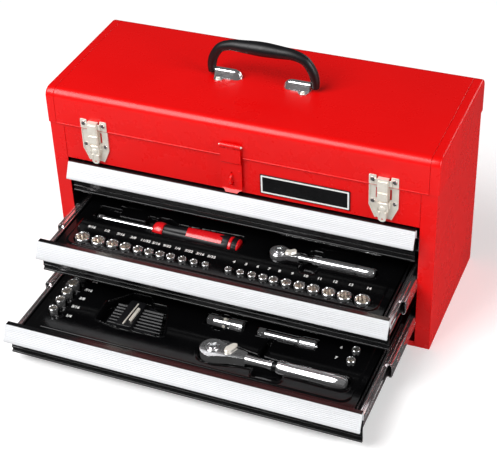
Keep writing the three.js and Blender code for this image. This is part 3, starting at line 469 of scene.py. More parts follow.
def make_studio():
    scene = bpy.context.scene
    scene.view_settings.view_transform = "Standard"
    world = bpy.data.worlds.new("studio")
    scene.world = world
    world.use_nodes = True
    world.node_tree.nodes["Background"].inputs["Color"].default_value = (1, 1, 1, 1)
    world.node_tree.nodes["Background"].inputs["Strength"].default_value = SKY_STRENGTH

    half = FLOOR_HALF
    mesh = bpy.data.meshes.new("studio_floor")
    mesh.from_pydata([(-half, -half, 0), (half, -half, 0), (half, half, 0), (-half, half, 0)], [],
                     [(0, 1, 2, 3)])
    floor = bpy.data.objects.new("studio_floor", mesh)
    floor.visible_glossy = False
    scene.collection.objects.link(floor)
    pale = finish("pale_floor", ((0.88, 0.88, 0.88), (0.9, 0.9, 0.9)), (0.7, 0.8), 3,
                  (200, 0.02, 0.0001), specular=0.1)
    glow = pale.node_tree.nodes["Principled BSDF"].inputs
    glow["Emission Color"].default_value = (1, 1, 1, 1)
    glow["Emission Strength"].default_value = FLOOR_GLOW
    mesh.materials.append(pale)

    for name, light in LIGHTS.items():
        make_light(name, *light)


make_camera()
make_studio()

# ---------------------------------------------------------------- lid


def lid_section(inset):
    """Half-round-edged outline of the lid across its length, open side down."""
    half = -LID_FRONT_Y - inset
    top = LID_TOP - inset
    radius = EDGE_RADIUS - inset
    return ([(-half, LID_LINE)]
            + arc((-half + radius, top - radius), radius, 180, 90, 14)
            + arc((half - radius, top - radius), radius, 90, 0, 14)
            + [(half, LID_LINE)])


def make_lid():
    outer = lid_section(0)
    hem = [(-LID_FRONT_Y - 1.0, LID_LINE + 0.1), (-LID_FRONT_Y - 2.0, LID_LINE + 0.7),
           (-LID_FRONT_Y - 2.0, LID_LINE + 6)]
    inner = lid_section(SHEET)[1:-1]
    section = outer + hem + list(reversed(inner)) + [(-y, z) for y, z in reversed(hem)]
    piece("lid_top_sheet", prism("x", section, LID_LOW.x, LID_HIGH.x), "red_powder_coat", "lid",
          "lid_shell", bevel=0.35, smooth=40)

    bead = rod("x", 0.75, LID_LOW.x + 0.4, LID_HIGH.x - 0.4, (0, LID_FRONT_Y - 0.15, LID_LINE + 0.75), 16)
    piece("lid_rolled_edge", bead, "red_powder_coat", "lid", bevel=0)

    seam = span("lid_end_right")[0].x
    corner = 2.6
    rings = [[(seam, y, z) for y, z in lid_section(0)]]
    for k in range(5):
        t = math.radians(90 * k / 4)
        inset = corner * (1 - math.cos(t))
        rings.append([(LID_END - corner + corner * math.sin(t), y, z) for y, z in lid_section(inset)])
    body = loft(rings)
    hollow = prism("x", [(y, z - 2 if z == LID_LINE else z) for y, z in lid_section(SHEET)],
                   seam - 1, LID_END - SHEET)
    end = cut(body, hollow)
    for name, side in SIDES:
        piece(f"lid_{name}_end_cap", on_side(side, end), "red_powder_coat", "lid", f"lid_end_{name}",
              bevel=0.3)


# ---------------------------------------------------------------- case


def make_case():
    for node in ("left_side_panel", "right_side_panel", "front_panel"):
        refined(node, "red_powder_coat", 0.55)
    for node in ("back_panel", "base_panel", "compartment_floor"):
        refined(node, "red_powder_coat", 0.4)
    for node in ("slide_carrier_left", "slide_carrier_right"):
        refined(node, "black_paint", 0.3)
    for node in ("hinge_leaf_body", "hinge_leaf_lid"):
        refined(node, "red_powder_coat", 0.25)
    refined("hinge_pin", "zinc", 0.3)


# ---------------------------------------------------------------- drawers


def drawer_front_section(front, low, top):
    """Pressed front: a forward fold along the top, a step part way down and a rolled lower edge."""
    back = front + SHEET
    return (
        [(front - TOP_FOLD, top), (front - TOP_FOLD, top - SHEET), (front, top - SHEET), (front, low + 9.4)]
        + [(y, z) for y, z in arc((front - 0.2, low + 8.4), 1.0, 90, 270, 6)]
        + [(front + 0.5, low + 7.2), (front + 0.5, low + 3.0)]
        + arc((front - 0.4, low + 1.5), 1.5, 60, 300, 10)
        + [(back + 0.6, low + 0.2), (back + 0.6, low + 8), (back, low + 9), (back, top)]
    )


def make_drawer(name):
    node = f"{name}_drawer"
    body = f"drawer_{name}"
    low, high = span(node)
    front = low.y + TOP_FOLD
    section = drawer_front_section(front, low.z, high.z)
    piece(f"{node}_front", prism("x", section, -high.x, high.x), "black_paint", body, node,
          bevel=0.25, smooth=50)

    wall = span(f"{name}_drawer_rail_right")[0].x - 0.3
    bottom = low.z + 4
    top = bottom + 33
    inside = front + SHEET
    tray = box((-wall, wall), (inside + 0.05, high.y), (bottom, top))
    hollow = box((-wall + SHEET, wall - SHEET), (inside - 1, high.y - SHEET), (bottom + SHEET, top + 2))
    side_edges = [rod("y", 1.0, inside + 0.05, high.y, (side * (wall - 0.6), 0, top), 16)
                  for side in (-1, 1)]
    back_edge = rod("x", 1.0, -wall + 0.6, wall - 0.6, (0, high.y - 0.6, top), 16)
    piece(f"{node}_box", union(cut(tray, hollow), *side_edges, back_edge), "black_paint", body,
          bevel=0.2, smooth=40)


RIBS = 9
RIB_DEPTH = 0.42
PULL_WALL = 1.7


def make_pull(name):
    """Extruded pull: a leaning ribbed face, a lip along its foot and a hook over the drawer's top fold."""
    node = f"{name}_drawer_pull"
    low, high = span(node)
    top_y = span(f"{name}_drawer")[0].y - 0.3
    face_top = Vector((top_y, high.z))
    face_foot = Vector((low.y, low.z + PULL_WALL))
    along = face_foot - face_top
    inward = Vector((-along.y, along.x)).normalized()
    face = [tuple(face_top)]
    for rib in range(RIBS):
        start = 0.05 + 0.9 * rib / RIBS
        for share, depth in ((0.0, 1.0), (0.14, 0.15), (0.32, 0.0), (0.62, 0.0), (0.84, 0.15)):
            at = face_top + along * (start + share * 0.9 / RIBS) + inward * RIB_DEPTH * depth
            face.append(tuple(at))
    face.append(tuple(face_foot))
    wall = PULL_WALL
    under = high.z - SHEET - 0.3
    web = under - wall
    lean = (face_top.x - face_foot.x) / (face_top.y - face_foot.y)
    leg = top_y + TOP_FOLD
    outline = face + [
        (low.y, low.z), (low.y + 2 * wall, low.z), (low.y + 2 * wall, low.z + wall),
        (low.y + wall + 0.3, low.z + wall + 0.2),
        (top_y - lean * (high.z - web) + wall + 0.4, web), (leg - wall, web),
        (leg - wall, web - 9), (leg, web - 9), (leg, under), (top_y, under),
    ]
    piece(f"{name}_drawer_ribbed_pull", prism("x", outline, low.x, high.x), "aluminium",
          f"drawer_{name}", node, bevel=0.12, segments=1, smooth=25, flat=0.05)


# ---------------------------------------------------------------- trays


def path_distance(points, x, y):
    """Distance to an open path."""
    best = np.full(x.shape, 1e9)
    for (ax, ay), (bx, by) in zip(points, points[1:]):
        ex, ey = bx - ax, by - ay
        t = np.clip(((x - ax) * ex + (y - ay) * ey) / (ex * ex + ey * ey + 1e-9), 0, 1)
        best = np.minimum(best, (x - ax - t * ex) ** 2 + (y - ay - t * ey) ** 2)
    return np.sqrt(best)


def outline_distance(points, x, y):
    """Signed distance to a closed outline, negative inside."""
    ring = points + points[:1]
    inside = np.zeros(x.shape, bool)
    for (ax, ay), (bx, by) in zip(ring, ring[1:]):
        inside ^= ((ay > y) != (by > y)) & (x < (bx - ax) * (y - ay) / (by - ay + 1e-12) + ax)
    return np.where(inside, -1, 1) * path_distance(ring, x, y)


def rectangle_distance(a, b, radius, x, y):
    """Signed distance to a rectangle with round corners, negative inside."""
    half_x, half_y = (a[1] - a[0]) / 2, (b[1] - b[0]) / 2
    radius = min(radius, half_x, half_y)
    qx = np.abs(x - (a[0] + a[1]) / 2) - half_x + radius
    qy = np.abs(y - (b[0] + b[1]) / 2) - half_y + radius
    outside = np.hypot(np.maximum(qx, 0), np.maximum(qy, 0))
    return outside + np.minimum(np.maximum(qx, qy), 0) - radius


LIP_HEIGHT = 1.1
GROOVE_LIP = 0.5


def sunken(x, y, distance, depth, wall, lip):
    """Hollow of a tray: its reach in X and Y, the distance of any point from it, and how its edge runs."""
    return {"edges": (x, y), "distance": distance, "depth": depth, "wall": wall, "lip": lip}


def pocket(x, y, depth, radius=3, wall=1.6, lip=LIP_HEIGHT):
    return sunken(x, y, lambda gx, gy: rectangle_distance(x, y, radius, gx, gy), depth, wall, lip)


def round_pocket(x, y, radius, depth, wall=1.4):
    return sunken(around(x, radius), around(y, radius), lambda gx, gy: np.hypot(gx - x, gy - y) - radius,
                  depth, wall, 0)


def reach_of(points):
    return [(min(values), max(values)) for values in zip(*points)]


def shaped_pocket(points, depth, wall=1.6):
    return sunken(*reach_of(points), lambda gx, gy: outline_distance(points, gx, gy),
                  depth, wall, LIP_HEIGHT)


def groove(points, width, depth):
    return sunken(*reach_of(points), lambda gx, gy: path_distance(points, gx, gy) - width / 2,
                  depth, width, GROOVE_LIP)


def grid_lines(edges, low, high, coarse, offsets=(-0.8, 0, 0.8)):
    """Grid positions that follow every edge closely and are coarse in between."""
    wanted = [low, high]
    for edge in sorted(edges):
        wanted += [edge + offset for offset in offsets if low < edge + offset < high]
    wanted.sort()
    lines = [wanted[0]]
    for value in wanted[1:]:
        if value - lines[-1] < 0.45:
            continue
        steps = math.ceil((value - lines[-1]) / coarse)
        start = lines[-1]
        lines += [start + (value - start) * (k + 1) / steps for k in range(steps)]
    lines[-1] = high
    return np.array(lines)


def tray_shape(low, high, pockets, rim=9.0, rim_drop=0.9, coarse=1.1):
    """Formed deck: pockets sunk into it, a lower rim all round and a skirt down to the drawer's floor."""
    border = [low.x + rim, high.x - rim]
    xs = grid_lines([e for p in pockets for e in p["edges"][0]] + border, low.x, high.x, coarse)
    border = [low.y + rim, high.y - rim]
    ys = grid_lines([e for p in pockets for e in p["edges"][1]] + border, low.y, high.y, coarse)
    x, y = np.meshgrid(xs, ys, indexing="ij")
    deck = rectangle_distance((low.x + rim, high.x - rim), (low.y + rim, high.y - rim), 13, x, y)
    sunk = rim_drop * ease(deck / 1.6 + 0.5)
    lip = np.zeros(x.shape)
    for item in pockets:
        reach = item["distance"](x, y)
        sunk = np.maximum(sunk, item["depth"] * ease(0.5 - reach / item["wall"]))
        lip = np.maximum(lip, item["lip"] * np.exp(-((reach - item["wall"] / 2 - 1.0) / 1.0) ** 2))
    height = high.z - sunk + lip * (1 - ease(sunk / 0.6))
    columns, rows = x.shape
    verts = np.stack([x.ravel(), y.ravel(), height.ravel()], axis=1).tolist()
    at = np.arange(columns * rows).reshape(columns, rows)
    faces = np.stack([at[:-1, :-1], at[1:, :-1], at[1:, 1:], at[:-1, 1:]], axis=-1).reshape(-1, 4)
    faces = faces.tolist()
    rim_loop = (list(at[:, 0]) + list(at[-1, 1:]) + list(at[-2::-1, -1]) + list(at[0, -2:0:-1]))
    start = len(verts)
    verts += [(verts[i][0], verts[i][1], low.z) for i in rim_loop]
    count = len(rim_loop)
    for k in range(count):
        after = (k + 1) % count
        faces.append((rim_loop[k], start + k, start + after, rim_loop[after]))
    faces.append(tuple(range(start + count - 1, start - 1, -1)))
    return verts, faces


def ease(value):
    t = np.clip(value, 0, 1)
    return t * t * (3 - 2 * t)


# Places in a drawer are given from the closed drawer's lower front edge, as the trays are.
DECK = 38.0
OFFSETS = {
    name: Vector((0, span(f"{name}_drawer")[0].y - span("top_drawer")[0].y, span(f"{name}_drawer")[0].z))
    for name in DRAWER_NAMES
}
SOCKET_ROW_Y = -69.5
DEEP_ROW_X = -195.5
LOOSE_ROW_X = 190
SOCKET_SEAT = 20.3
SMALL_HEIGHT = 21.2
DEEP_HEIGHT = 26
FRACTION_ROW = {
    "9/16": (-190.3, 9.8), "1/2": (-167.6, 9.2), "7/16": (-147, 8.2), "3/8": (-128.5, 7.4),
    "11/32": (-110.5, 6.6), "5/16": (-95, 6.2), "9/32": (-79.4, 5.9), "1/4": (-64.7, 5.7),
    "7/32": (-48.5, 5.4), "3/16": (-32.5, 4.9), "5/32": (-16.6, 4.5),
}
METRIC_ROW = {
    "4": (14.3, 4.5), "5": (30.5, 4.9), "6": (46.1, 5.3), "7": (61, 5.6), "8": (74.8, 5.9),
    "9": (91.5, 6.4), "10": (108.8, 7.1), "11": (126.8, 7.7), "12": (146.6, 8.4),
    "13": (166.6, 9), "14": (189.5, 9.6),
}
DEEP_ROW = {"1/4": (-55, 5.6), "5/16": (-36, 6.3), "3/8": (-18, 7.2), "7/16": (0, 8), "1/2": (19, 9)}
LOOSE_ROW = {"7": (-14, 5.6), "6": (6, 5.2)}
DRIVER = Vector((-3.5, -14, DECK - 6))
SMALL_RATCHET = Vector((62, -16, DECK + 1))
LARGE_RATCHET = Vector((26, -55, DECK + 1))
SHORT_BAR = Vector((65, -1, DECK - 1))
LONG_BAR = Vector((48, 28, DECK - 2.5))
UNIVERSAL = Vector((-4, 1, DECK - 1))


def in_drawer(name, shape):
    return shifted(shape, *OFFSETS[name])


def tool(name, shape, slot, drawer, stands_for=(), **looks):
    """Piece placed in a drawer's own coordinates."""
    return piece(name, in_drawer(drawer, shape), slot, f"drawer_{drawer}", stands_for, **looks)


def make_trays():
    low, high = span("middle_tray")
    shift = OFFSETS["middle"]
    low, high = low - shift, high - shift
    sockets = [round_pocket(x, SOCKET_ROW_Y, r + 0.8, 17.5, 1.1)
               for x, r in (*FRACTION_ROW.values(), *METRIC_ROW.values())]
    grip_outline = rounded(
        [(-121, -24), (-104, -27), (-40, -28), (10, -27.5), (11, 2), (-24, 0.5), (-70, -2.5),
         (-84, -2.5), (-97, 4.5), (-113, 4), (-121, -4)], [3, 10, 30, 6, 8, 30, 20, 12, 8, 7, 3])
    middle = sockets + [
        shaped_pocket(grip_outline, 20, 2.0),
        pocket((-197, -116), (DRIVER.y - 7, DRIVER.y + 5), 12, 1.5, 1.2, lip=0.3),
        pocket((-129, -118), (-14, 2), 9, 1.5, 1.2),
        pocket((-200, -168), (-17.5, 3), 15.5, 1.5, 1.2),
        round_pocket(SMALL_RATCHET.x, SMALL_RATCHET.y, 13.6, 13.5),
        pocket((70, 191), around(SMALL_RATCHET.y, 8), 8.5, 6, 2),
        pocket((98, 116), (-40, 4), 6.5, 5, 2.5),
        pocket((45, 188), around(LONG_BAR.y, 6), 8),
        groove([(-178, 7), (-175, 11.5), (-143, 13)], 2.2, 1.6),
        groove([(104, 8), (107, 12), (153, 13.5)], 2.2, 1.6),
    ]
    tool("middle_formed_tray", tray_shape(low, high, middle), "black_tray", "middle", "middle_tray",
         bevel=0, smooth=70, flat=0)

    low, high = span("bottom_tray")
    shift = OFFSETS["bottom"]
    low, high = low - shift, high - shift
    deep = [round_pocket(DEEP_ROW_X, y, r + 0.8, 17.5, 1.1) for y, r in DEEP_ROW.values()]
    deep += [pocket((DEEP_ROW_X, DEEP_ROW_X + r + 5), around(y, 0.5 * r), 5, 2, 2.4)
             for y, r in DEEP_ROW.values()]
    loose = [round_pocket(LOOSE_ROW_X, y, r + 0.8, 17.5, 1.1) for y, r in LOOSE_ROW.values()]
    keys = rounded([(-139, -12), (-116, 13.5), (-89, 13.5), (-82, 3), (-62, 3.5), (-44, -50), (-106, -53),
                    (-138, -47)], [5, 6, 5, 4, 6, 4, 5, 5])
    large = LARGE_RATCHET
    ratchet = rounded(
        [(large.x - 19, large.y), (large.x - 12, large.y - 17), (large.x + 8, large.y - 19),
         (large.x + 44, large.y - 12), (112, large.y - 9), (200.5, large.y - 11.5),
         (200.5, large.y + 11.5), (112, large.y + 9), (large.x + 44, large.y + 13),
         (large.x + 8, large.y + 20), (large.x - 12, large.y + 17)],
        [12, 12, 14, 20, 10, 9, 9, 10, 20, 14, 12])
    bottom = deep + loose + [
        shaped_pocket(keys, 12, 2.2),
        pocket((UNIVERSAL.x - 3, UNIVERSAL.x + 51), around(UNIVERSAL.y, 9.5), 10, 3),
        pocket((UNIVERSAL.x + 12, UNIVERSAL.x + 26), (UNIVERSAL.y - 16, UNIVERSAL.y + 13), 6, 4, 2.4),
        pocket((SHORT_BAR.x - 2, SHORT_BAR.x + 78), around(SHORT_BAR.y, 6.5), 8, 3),
        pocket((SHORT_BAR.x + 52, SHORT_BAR.x + 78), around(SHORT_BAR.y, 9), 9, 3),
        shaped_pocket(ratchet, 10, 2.6),
        round_pocket(large.x, large.y, 16, 17),
        pocket((82, 88), (-43, -8), 7, 3, 2.6),
        pocket((86, 121), (-79, -58), 9, 5, 2.6),
    ]
    tool("bottom_formed_tray", tray_shape(low, high, bottom), "black_tray", "bottom", "bottom_tray",
         bevel=0, smooth=70, flat=0)


def letters(text, size):
    """Outline of a number in the XY plane, centred on the origin, as a thin raised shape."""
    curve = bpy.data.curves.new("letters", "FONT")
    curve.body = text
    curve.size = size
    curve.align_x = "CENTER"
    curve.align_y = "CENTER"
    curve.extrude = 0.06
    curve.offset = 0.022 * size
    curve.resolution_u = 3
    made = bpy.data.objects.new("letters", curve)
    bpy.context.scene.collection.objects.link(made)
    mesh = bpy.data.meshes.new_from_object(made.evaluated_get(bpy.context.evaluated_depsgraph_get()))
    shape = ([tuple(v.co) for v in mesh.vertices], [tuple(f.vertices) for f in mesh.polygons])
    bpy.data.objects.remove(made)
    bpy.data.curves.remove(curve)
    bpy.data.meshes.remove(mesh)
    return shape


NUMBER_SIZE = 6.3


def make_numbers():
    z = DECK + 0.03
    for name, row in (("fraction", FRACTION_ROW), ("metric", METRIC_ROW)):
        marks = [shifted(letters(text, NUMBER_SIZE), x, SOCKET_ROW_Y + 14 + 1.2 * r, z)
                 for text, (x, r) in row.items()]
        tool(f"{name}_size_numbers", together(*marks), "white_print", "middle", bevel=0)
    marks = [shifted(letters(text, NUMBER_SIZE), DEEP_ROW_X + 21.5, y, z)
             for text, (y, r) in DEEP_ROW.items()]
    marks += [shifted(letters(text, NUMBER_SIZE), LOOSE_ROW_X - 19, y, z)
              for text, (y, r) in LOOSE_ROW.items()]
    tool("deep_size_numbers", together(*marks), "white_print", "bottom", bevel=0)


# ---------------------------------------------------------------- sockets

RING_SIDES = 48


def twelve_point(radius, z):
    """Ring at the mouth of a socket, the outline of two hexagons turned against each other."""
    ring = []
    for k in range(RING_SIDES):
        angle = 2 * math.pi * k / RING_SIDES
        first = math.cos(angle % (math.pi / 3) - math.pi / 6)
        second = math.cos((angle + math.pi / 6) % (math.pi / 3) - math.pi / 6)
        reach = radius / min(first, second)
        ring.append((reach * math.cos(angle), reach * math.sin(angle), z))
    return ring


def square_ring(half, z):
    ring = []
    for k in range(RING_SIDES):
        angle = 2 * math.pi * k / RING_SIDES
        reach = half / max(abs(math.cos(angle)), abs(math.sin(angle)))
        ring.append((reach * math.cos(angle), reach * math.sin(angle), z))
    return ring


def socket(radius, height, waist=0.0, drive=3.2):
    """Socket with its mouth up: turned outside with a groove, twelve-point mouth and square drive."""
    outside = [
        (radius - 0.6, 0), (radius, 0.6), (radius, height * 0.26), (radius - 0.5, height * 0.29),
        (radius - 0.5, height * 0.36), (radius, height * 0.39), (radius - waist, height * 0.5),
        (radius - waist, height - 7), (radius, height - 5.5), (radius, height - 0.7),
        (radius - 0.7, height),
    ]
    mouth = radius * 0.78
    rings = [[(a, b, z) for a, b in circle(r, RING_SIDES)] for r, z in outside]
    rings += [twelve_point(mouth + 0.5, height), twelve_point(mouth, height - 0.8),
              twelve_point(mouth, height * 0.42)]
    rings += [[(a, b, height * 0.38) for a, b in circle(mouth * 0.8, RING_SIDES)]]
    drive = min(drive, mouth * 0.62)
    rings += [square_ring(drive, height * 0.36), square_ring(drive, 0)]
    return loft(rings, loop=True)


def make_sockets():
    groups = (
        ("fraction", "middle", FRACTION_ROW, SMALL_HEIGHT, lambda along: (along, SOCKET_ROW_Y)),
        ("metric", "middle", METRIC_ROW, SMALL_HEIGHT, lambda along: (along, SOCKET_ROW_Y)),
        ("deep", "bottom", DEEP_ROW, DEEP_HEIGHT, lambda along: (DEEP_ROW_X, along)),
        ("loose", "bottom", LOOSE_ROW, SMALL_HEIGHT, lambda along: (LOOSE_ROW_X, along)),
    )
    stand_for = {"fraction": "socket_row", "deep": "deep_socket_row", "loose": "loose_metric_sockets"}
    for kind, drawer, row, height, place in groups:
        for index, (text, (along, radius)) in enumerate(row.items()):
            waist = 0.4 if kind == "deep" else 0
            shape = shifted(socket(radius, height, waist), *place(along), SOCKET_SEAT)
            stands = stand_for.get(kind) if index == 0 else ()
            made = tool(f"{kind}_socket_{text.replace('/', '_')}", shape, "chrome", drawer, stands or (),
                        bevel=0.12, segments=1, flat=0)
            # Faces inside the mouth take the tan of the painted reflection.
            made.data.materials.append(BORE_PAINTED_REFLECTION)
            middle = Vector((*place(along), SOCKET_SEAT + height - 0.5)) + OFFSETS[drawer]
            for face in made.data.polygons:
                offset = face.center / MM - middle
                if offset.xy.length < radius * 0.80 and offset.z < 0:
                    face.material_index = 1


# ---------------------------------------------------------------- driver


def ring_about_x(along, radii, y, z):
    """Ring of points about a line along X, one at each radius."""
    angles = [2 * math.pi * k / len(radii) for k in range(len(radii))]
    return [(along, y + r * math.cos(t), z + r * math.sin(t)) for r, t in zip(radii, angles)]


def fluted(profile, flutes, depth, y=0, z=0, sides=72):
    """Turned grip along X with soft flutes: profile rows are (radius, along, flute share)."""
    cuts = [depth * (0.5 + 0.5 * math.cos(2 * math.pi * flutes * k / sides)) ** 2 for k in range(sides)]
    return loft([ring_about_x(along, [radius - share * deep for deep in cuts], y, z)
                 for radius, along, share in profile])


def make_driver():
    def part(name, shape, slot, **looks):
        tool(f"driver_{name}", shifted(shape, *DRIVER), slot, "middle", **looks)

    shaft = union(
        turned("x", [(2.6, -187.5), (3.2, -186), (3.2, -108)], sides=32),
        box((-193, -185), around(0, 3.15), around(0, 3.15)),
        turned("z", [(1.2, 3.1), (1.0, 3.6), (0.5, 3.9)], (-190, 0, 0), 16),
    )
    part("shaft", shaft, "chrome", stands_for="driver_handle", bevel=0.3)
    collar = [(5.2, -111), (8.2, -110.4), (10.6, -108), (11.6, -104), (11.8, -99), (11.0, -95.6),
              (10.2, -95.2)]
    part("collar", turned("x", collar, sides=56), "red_grip", bevel=0.4, segments=3)
    grip = [(9.6, -95, 0), (10.6, -94, 0.2), (10.4, -86, 0.8), (10.9, -72, 1), (12.0, -52, 1),
            (12.9, -30, 1), (13.1, -12, 0.8), (12.6, -4, 0.2), (12.1, -3, 0)]
    part("grip", fluted(grip, 6, 1.3), "black_grip", bevel=0)
    part("ring", turned("x", [(11.6, -2.8), (12.6, -2.2), (12.6, 0.9), (11.6, 1.5)], sides=56), "red_grip")
    tail = [(10.7, 1.6, 0), (11.9, 2.2, 0), (11.7, 7.6, 1), (10.9, 8.2, 0)]
    part("tail_band", fluted(tail, 18, 0.6), "black_grip", bevel=0)
    end = [(10.9, 8.4), (11.3, 8.8), (10.9, 10.2), (9.2, 11.2), (6, 11.8)]
    part("end_cap", turned("x", end, sides=56), "red_grip", bevel=0.2)
    rows = []
    for share in np.linspace(0, 1, 25):
        x = -64 + 50 * share
        radius = 12.3 + 0.8 * math.sin(math.pi * (0.15 + 0.5 * share))
        lean = 3 * (0.5 - share)
        rows.append([(x + 2.6 * math.cos(math.radians(a - 50)), math.radians(a + lean), radius)
                     for a in np.linspace(40, 118, 15)])
    outer = [[(x, -r * math.cos(a), r * math.sin(a)) for x, a, r in row] for row in rows]
    inner = [[(x, -(r - 1.4) * math.cos(a), (r - 1.4) * math.sin(a)) for x, a, r in reversed(row)]
             for row in rows]
    label = loft([top + under for top, under in zip(outer, inner)])
    part("label_panel", label, "red_grip", bevel=0.25)


# ---------------------------------------------------------------- ratchets and bars


HANDLE_SIDES = 48
KNURL_DEPTH = 0.25


def knurled_handle(profile, start, centre):
    """Handle along X: profile rows are (radius, along), with a third value where it is knurled."""
    rings = []
    for radius, along, *knurled in profile:
        bite = KNURL_DEPTH if knurled else 0
        radii = [radius - bite * (k % 2) for k in range(HANDLE_SIDES)]
        rings.append(ring_about_x(start + along, radii, centre.y, centre.z))
    return loft(rings)


def teardrop(centre, radius, length, end):
    """Head outline: a round front that narrows towards the handle."""
    front = arc((centre.x, centre.y), radius, 65, 295, 22)
    waist = (radius * 0.9 + end) / 2 * 0.86
    back = [(centre.x + length * along, centre.y + across)
            for along, across in ((0.55, -waist), (1, -end), (1, end), (0.55, waist))]
    return rounded(front + back, [0] * len(front) + [10, 0, 0, 10], 6)


def make_small_ratchet():
    at = SMALL_RATCHET
    head = prism("z", teardrop(at, 12, 27, 4.2), at.z - 4.6, at.z + 4.6)
    tool("small_ratchet_head", head, "chrome", "middle", "small_ratchet", bevel=1.5, segments=4)
    plate = [(9.4, 4.6), (9.4, 5.3), (8.8, 5.6), (7.4, 5.6), (7.4, 5.0), (6.6, 5.0), (6.6, 6.3), (5.6, 6.9),
             (3, 6.9), (3, 6.2), (1.5, 6.2)]
    tool("small_ratchet_boss", turned("z", [(r, h + at.z) for r, h in plate], (at.x, at.y, 0), 48),
         "chrome", "middle", bevel=0.15)
    lever = rounded([(at.x + x, at.y + y) for x, y in
                     ((9, -3.5), (16, -3), (23, 4), (19, 8), (13, 3.5), (9, 3.5))], [2, 3, 2.5, 2.5, 3, 2])
    tool("small_ratchet_lever", prism("z", lever, at.z + 4.5, at.z + 6.8), "nickel", "middle", bevel=0.7,
         segments=3)
    drive = box(around(at.x, 3.15), around(at.y, 3.15), (at.z - 12, at.z - 4.5))
    tool("small_ratchet_drive", drive, "chrome", "middle", bevel=0.5)
    profile = [(3.8, -21), (4.0, -18), (3.4, -8), (3.4, -2), (4.6, -1), (5.4, 1), (5.6, 4), (4.9, 5),
               (4.9, 6.4), (5.7, 7.4), (5.9, 9, 1), (6.0, 30, 1), (6.0, 52, 1), (5.7, 54), (4.9, 55),
               (4.9, 57), (5.8, 58), (6.4, 61), (6.5, 72), (5.9, 77), (4.4, 79.5)]
    tool("small_ratchet_handle", knurled_handle(profile, 108, at), "chrome", "middle", bevel=0, smooth=28)


def make_bar(name, drawer, place, lengths, radii, square, stands_for=()):
    """Extension bar: square end with its ball, shaft and a grooved collar with a square hole."""
    tip, whole = lengths
    rod_radius, collar = radii
    x, y, z = place
    collar_at = whole - 21
    shaft = [(rod_radius - 0.9, tip - 0.8), (rod_radius, tip + 0.6), (rod_radius, collar_at - 4),
             (collar - 0.5, collar_at), (collar, collar_at + 1), (collar, collar_at + 5),
             (collar - 0.6, collar_at + 5.6), (collar - 0.6, collar_at + 7), (collar, collar_at + 7.6),
             (collar, whole - 0.7), (collar - 0.7, whole)]
    solid = union(
        turned("x", [(r, a + x) for r, a in shaft], (0, y, z), 48),
        box((x, x + tip + 1), around(y, square), around(z, square)),
    )
    hole = square + 0.15
    solid = cut(solid, box((x + whole - 10, x + whole + 1), around(y, hole), around(z, hole)))
    ball = turned("y", [(1.6, 0.2), (1.3, -0.5), (0.6, -0.9)], (x + tip / 2, y - square, z), 16)
    tool(name, solid, "chrome", drawer, stands_for, bevel=0.3)
    tool(f"{name}_ball", ball, "chrome", drawer, bevel=0)


def make_bars():
    make_bar("short_extension", "bottom", SHORT_BAR, (7.5, 76), (4.2, 6.6), 4.7, "short_extension_bar")
    make_bar("long_extension", "middle", LONG_BAR, (7, 135), (3.3, 5.6), 3.15)


def make_universal_joint():
    x, y, z = UNIVERSAL
    male = union(
        box((x, x + 9.5), around(y, 4.7), around(z, 4.7)),
        turned("x", [(6.2, x + 8.5), (7.0, x + 9.5), (7.0, x + 15)], (0, y, z), 40),
        cut(rod("x", 7, x + 14.9, x + 26.5, (0, y, z), 40),
            box((x + 15, x + 28), around(y, 3.1), around(z, 9))),
    )
    tool("universal_joint_fork", male, "chrome", "bottom", "universal_joint", bevel=0.35)
    female = union(
        cut(turned("x", [(7.2, x + 32), (8, x + 33.5), (8, x + 47.3), (7.3, x + 48)], (0, y, z), 40),
            box((x + 38, x + 50), around(y, 4.8), around(z, 4.8))),
        cut(rod("x", 7, x + 20.5, x + 33, (0, y, z), 40),
            box((x + 19, x + 31), around(y, 9), around(z, 3.1))),
    )
    female = cut(female, box((x + 19, x + 27.4), around(y, 3.3), around(z, 9)))
    tool("universal_joint_socket", female, "chrome", "bottom", bevel=0.35)
    cross = union(
        box(around(x + 23.4, 2.9), around(y, 2.9), around(z, 2.9)),
        rod("y", 2.0, y - 7.3, y + 7.3, (x + 23.4, 0, z), 24),
        rod("z", 2.0, z - 7.3, z + 7.3, (x + 23.4, y, 0), 24),
    )
    tool("universal_joint_cross", cross, "nickel", "bottom", bevel=0.25)


